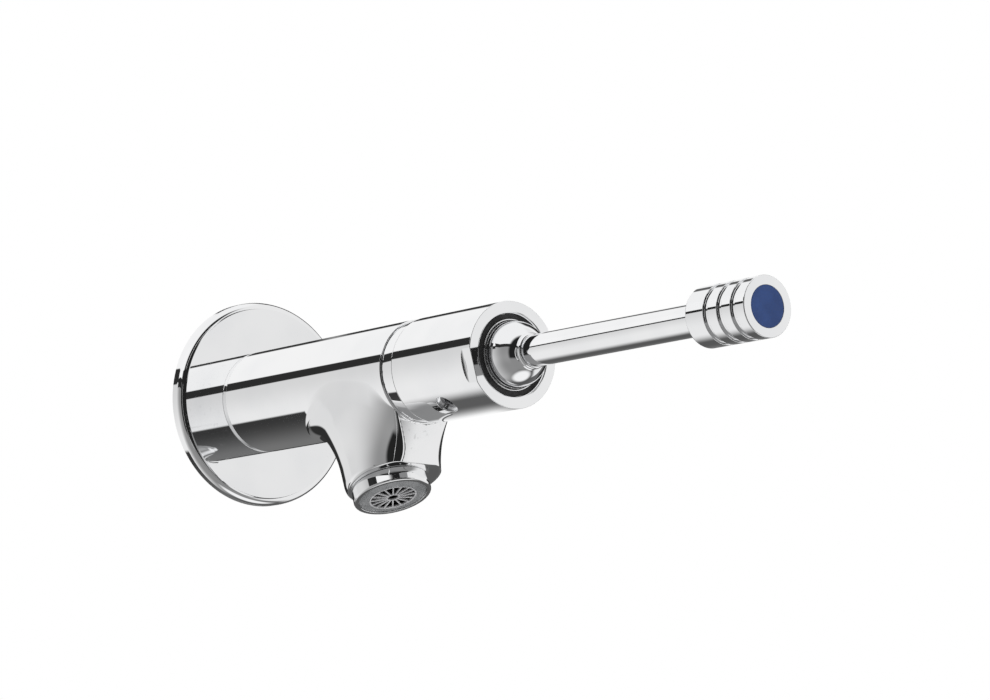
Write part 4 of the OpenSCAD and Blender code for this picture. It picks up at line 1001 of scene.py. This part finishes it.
# %% [markdown]
# A dark card on the right draws the thin lines along the upper edges of the tube and the sleeve, and it climbs
# towards the knob. The other forms see it as two fixed cards, one of them only on the side towards the wall.

# %% The dark cards on the right
card_start = smooth_map(polar, 37.9, 42.2, 196, 231)
card_stop = smooth_map(polar, 37.9, 42.2, 227, 252)
card = math_node("MULTIPLY", smooth_map(math_node("SUBTRACT", under_turn, card_start), -3, 3),
                 smooth_map(math_node("SUBTRACT", under_turn, card_stop), -3, 3, 1, 0))
light = layer(light, grey_map(polar, 38.4, 39.2, DARK_CARD, SLEEVE_CARD), card, past_plate)
light = layer(light, linear_grey(DARK_CARD), band(under_turn, 172, 228, 3), smooth_map(polar, 48, 53, 1, 0),
              inverse(past_plate))
light = layer(light, linear_grey(BLACK_CARD), band(under_turn, 160, 238, 4), smooth_map(dy, 0.15, 0.3),
              smooth_map(polar, 43.5, 48))

# %% [markdown]
# A lamp below gives the light spot low on the ball. Straight along the tap there is a light end on the left and a
# dark one on the right. Round the camera the studio is dark, with one soft box to its right, which lights the
# sleeve's face and the spout's flat front. The plate's face gets a box of its own.

# %% Low lamp and the ends
spot = weighted((dx, 0.30), (dy, -0.155), (dz, -0.94))
light = layer(light, linear_grey(LOW_LAMP), smooth_map(spot, 0.88, 0.965))
light = layer(light, grey_map(dx, 0.07, 0.0, BLACK_CARD, END_BOX), smooth_map(polar, 26, 21))

# %% The side of the camera
off_plate = inverse(plate_face)
front = math_node("MULTIPLY", smooth_map(dy, -0.48, -0.62), off_plate)
light = layer(light, grey_map(dz, -0.42, -0.28, 140, CAMERA_SIDE), front)
front_box = math_node("MULTIPLY", band(under_turn, 140, 245, 6), band(dy, -0.9, 0.05, 0.012))
light = layer(light, linear_grey(FRONT_BOX), front_box, off_plate)
light = layer(light, linear_grey(PLATE_BOX), band(under_turn, 188, 201, 1.0), plate_face, smooth_map(dy, -0.6, -0.7))

# %% World output
path = tree.nodes.new("ShaderNodeLightPath")
studio = tree.nodes.new("ShaderNodeBackground")
studio.inputs["Color"].default_value = (1, 1, 1, 1)
feed(tree, studio.inputs["Strength"], layer(light, 1.0, path.outputs["Is Camera Ray"]))
feed(tree, tree.nodes.new("ShaderNodeOutputWorld").inputs[0], studio.outputs[0])
print("world nodes:", len(tree.nodes))

# %% [markdown]
# ## Cards for the lever
# The lever stands in front of its own reflector. Its card is worked out from the rays that leave the lever: a ray
# from a point of the lever's left side goes out at a known angle, which grows along the lever, and the card is where
# those rays meet a plane to the left. So little else than the lever sees the card.

# %% Lever cards
CARD_X, CARD_FIRST_S, CARD_LAST_S, SIDE_X = -188.0, 157, 300, -6.0
RAY_FIRST_S, RAY_POLAR, RAY_POLAR_GROWTH = 155, 39.0, 0.031


def lever_card(name, first_turn, last_turn, strength):
    """Grid of a card: point(s, turn) = lever point at s + t * ray(turn), with t such that x is CARD_X."""
    s = np.linspace(CARD_FIRST_S, CARD_LAST_S, 16)[None, :, None]
    turn_angle = np.radians(np.linspace(first_turn, last_turn, 12))[:, None, None]
    polar_angle = np.radians(RAY_POLAR + (s - RAY_FIRST_S) * RAY_POLAR_GROWTH)
    ray = np.concatenate(np.broadcast_arrays(np.sin(polar_angle) * np.cos(turn_angle), np.cos(polar_angle),
                                             np.sin(polar_angle) * np.sin(turn_angle)), -1)
    start = np.concatenate(np.broadcast_arrays(SIDE_X + 0 * s, -s, 0 * s), -1)
    point = start + (CARD_X - start[..., :1]) / ray[..., :1] * ray
    index = np.arange(point[..., 0].size).reshape(point.shape[:2])
    faces = np.stack([index[:-1, :-1], index[1:, :-1], index[1:, 1:], index[:-1, 1:]], -1).reshape(-1, 4)
    mesh = bpy.data.meshes.new(name)
    mesh.from_pydata((point.reshape(-1, 3) * MM).tolist(), [], faces.tolist())
    card = bpy.data.objects.new(name, mesh)
    bpy.context.scene.collection.objects.link(card)
    glow = bpy.data.materials.new(name)
    glow.use_nodes = True
    shader = glow.node_tree.nodes["Principled BSDF"]
    for label, value in (("Base Color", (0, 0, 0, 1)), ("Specular IOR Level", 0), ("Emission Color", (1, 1, 1, 1)),
                         ("Emission Strength", strength)):
        shader.inputs[label].default_value = value
    mesh.materials.append(glow)
    card.visible_camera = card.visible_diffuse = card.visible_shadow = False
    print(name, "from turn", first_turn, "to", last_turn)


lever_card("lever_white_card", 128, 158.5, linear_grey(249))
lever_card("lever_black_card", 158.5, 167, linear_grey(40))

# %% [markdown]
# ## Lamps and floor
# Plastic, rubber and the floor scatter light, so they need lamps of their own. These are wide suns at a plain
# level, and mirrors don't show them. The floor is pale and matt, and lies well below the tap.

# %% Lamps
LAMP_SPREAD = np.radians(50)
for name, strength, aim in (("key_lamp", 2.0, (0.45, 0.75, -0.5)), ("fill_lamp", 1.1, (-0.7, 0.45, 0.35)),
                            ("back_lamp", 1.0, (-0.1, -0.8, -0.6))):
    lamp_data = bpy.data.lights.new(name, "SUN")
    lamp_data.energy = strength
    lamp_data.angle = LAMP_SPREAD
    lamp = bpy.data.objects.new(name, lamp_data)
    lamp.rotation_euler = Vector(aim).to_track_quat("-Z", "Y").to_euler()
    lamp.visible_glossy = False
    bpy.context.scene.collection.objects.link(lamp)
    print(name, "strength", strength)

# %% Floor
FLOOR_HALF, FLOOR_Z = 6.0, -0.2
floor_mesh = bpy.data.meshes.new("floor")
floor_mesh.from_pydata([(x * FLOOR_HALF, y * FLOOR_HALF, FLOOR_Z) for x, y in ((-1, -1), (1, -1), (1, 1), (-1, 1))],
                       [], [(0, 1, 2, 3)])
floor = bpy.data.objects.new("floor", floor_mesh)
bpy.context.scene.collection.objects.link(floor)
floor_mesh.materials.append(finish("pale_floor", 0, (0.86, 0.86, 0.86), (0.83, 0.83, 0.83), 3, 0.7, 0.8))
floor.visible_glossy = False
print("floor at", FLOOR_Z, "m")
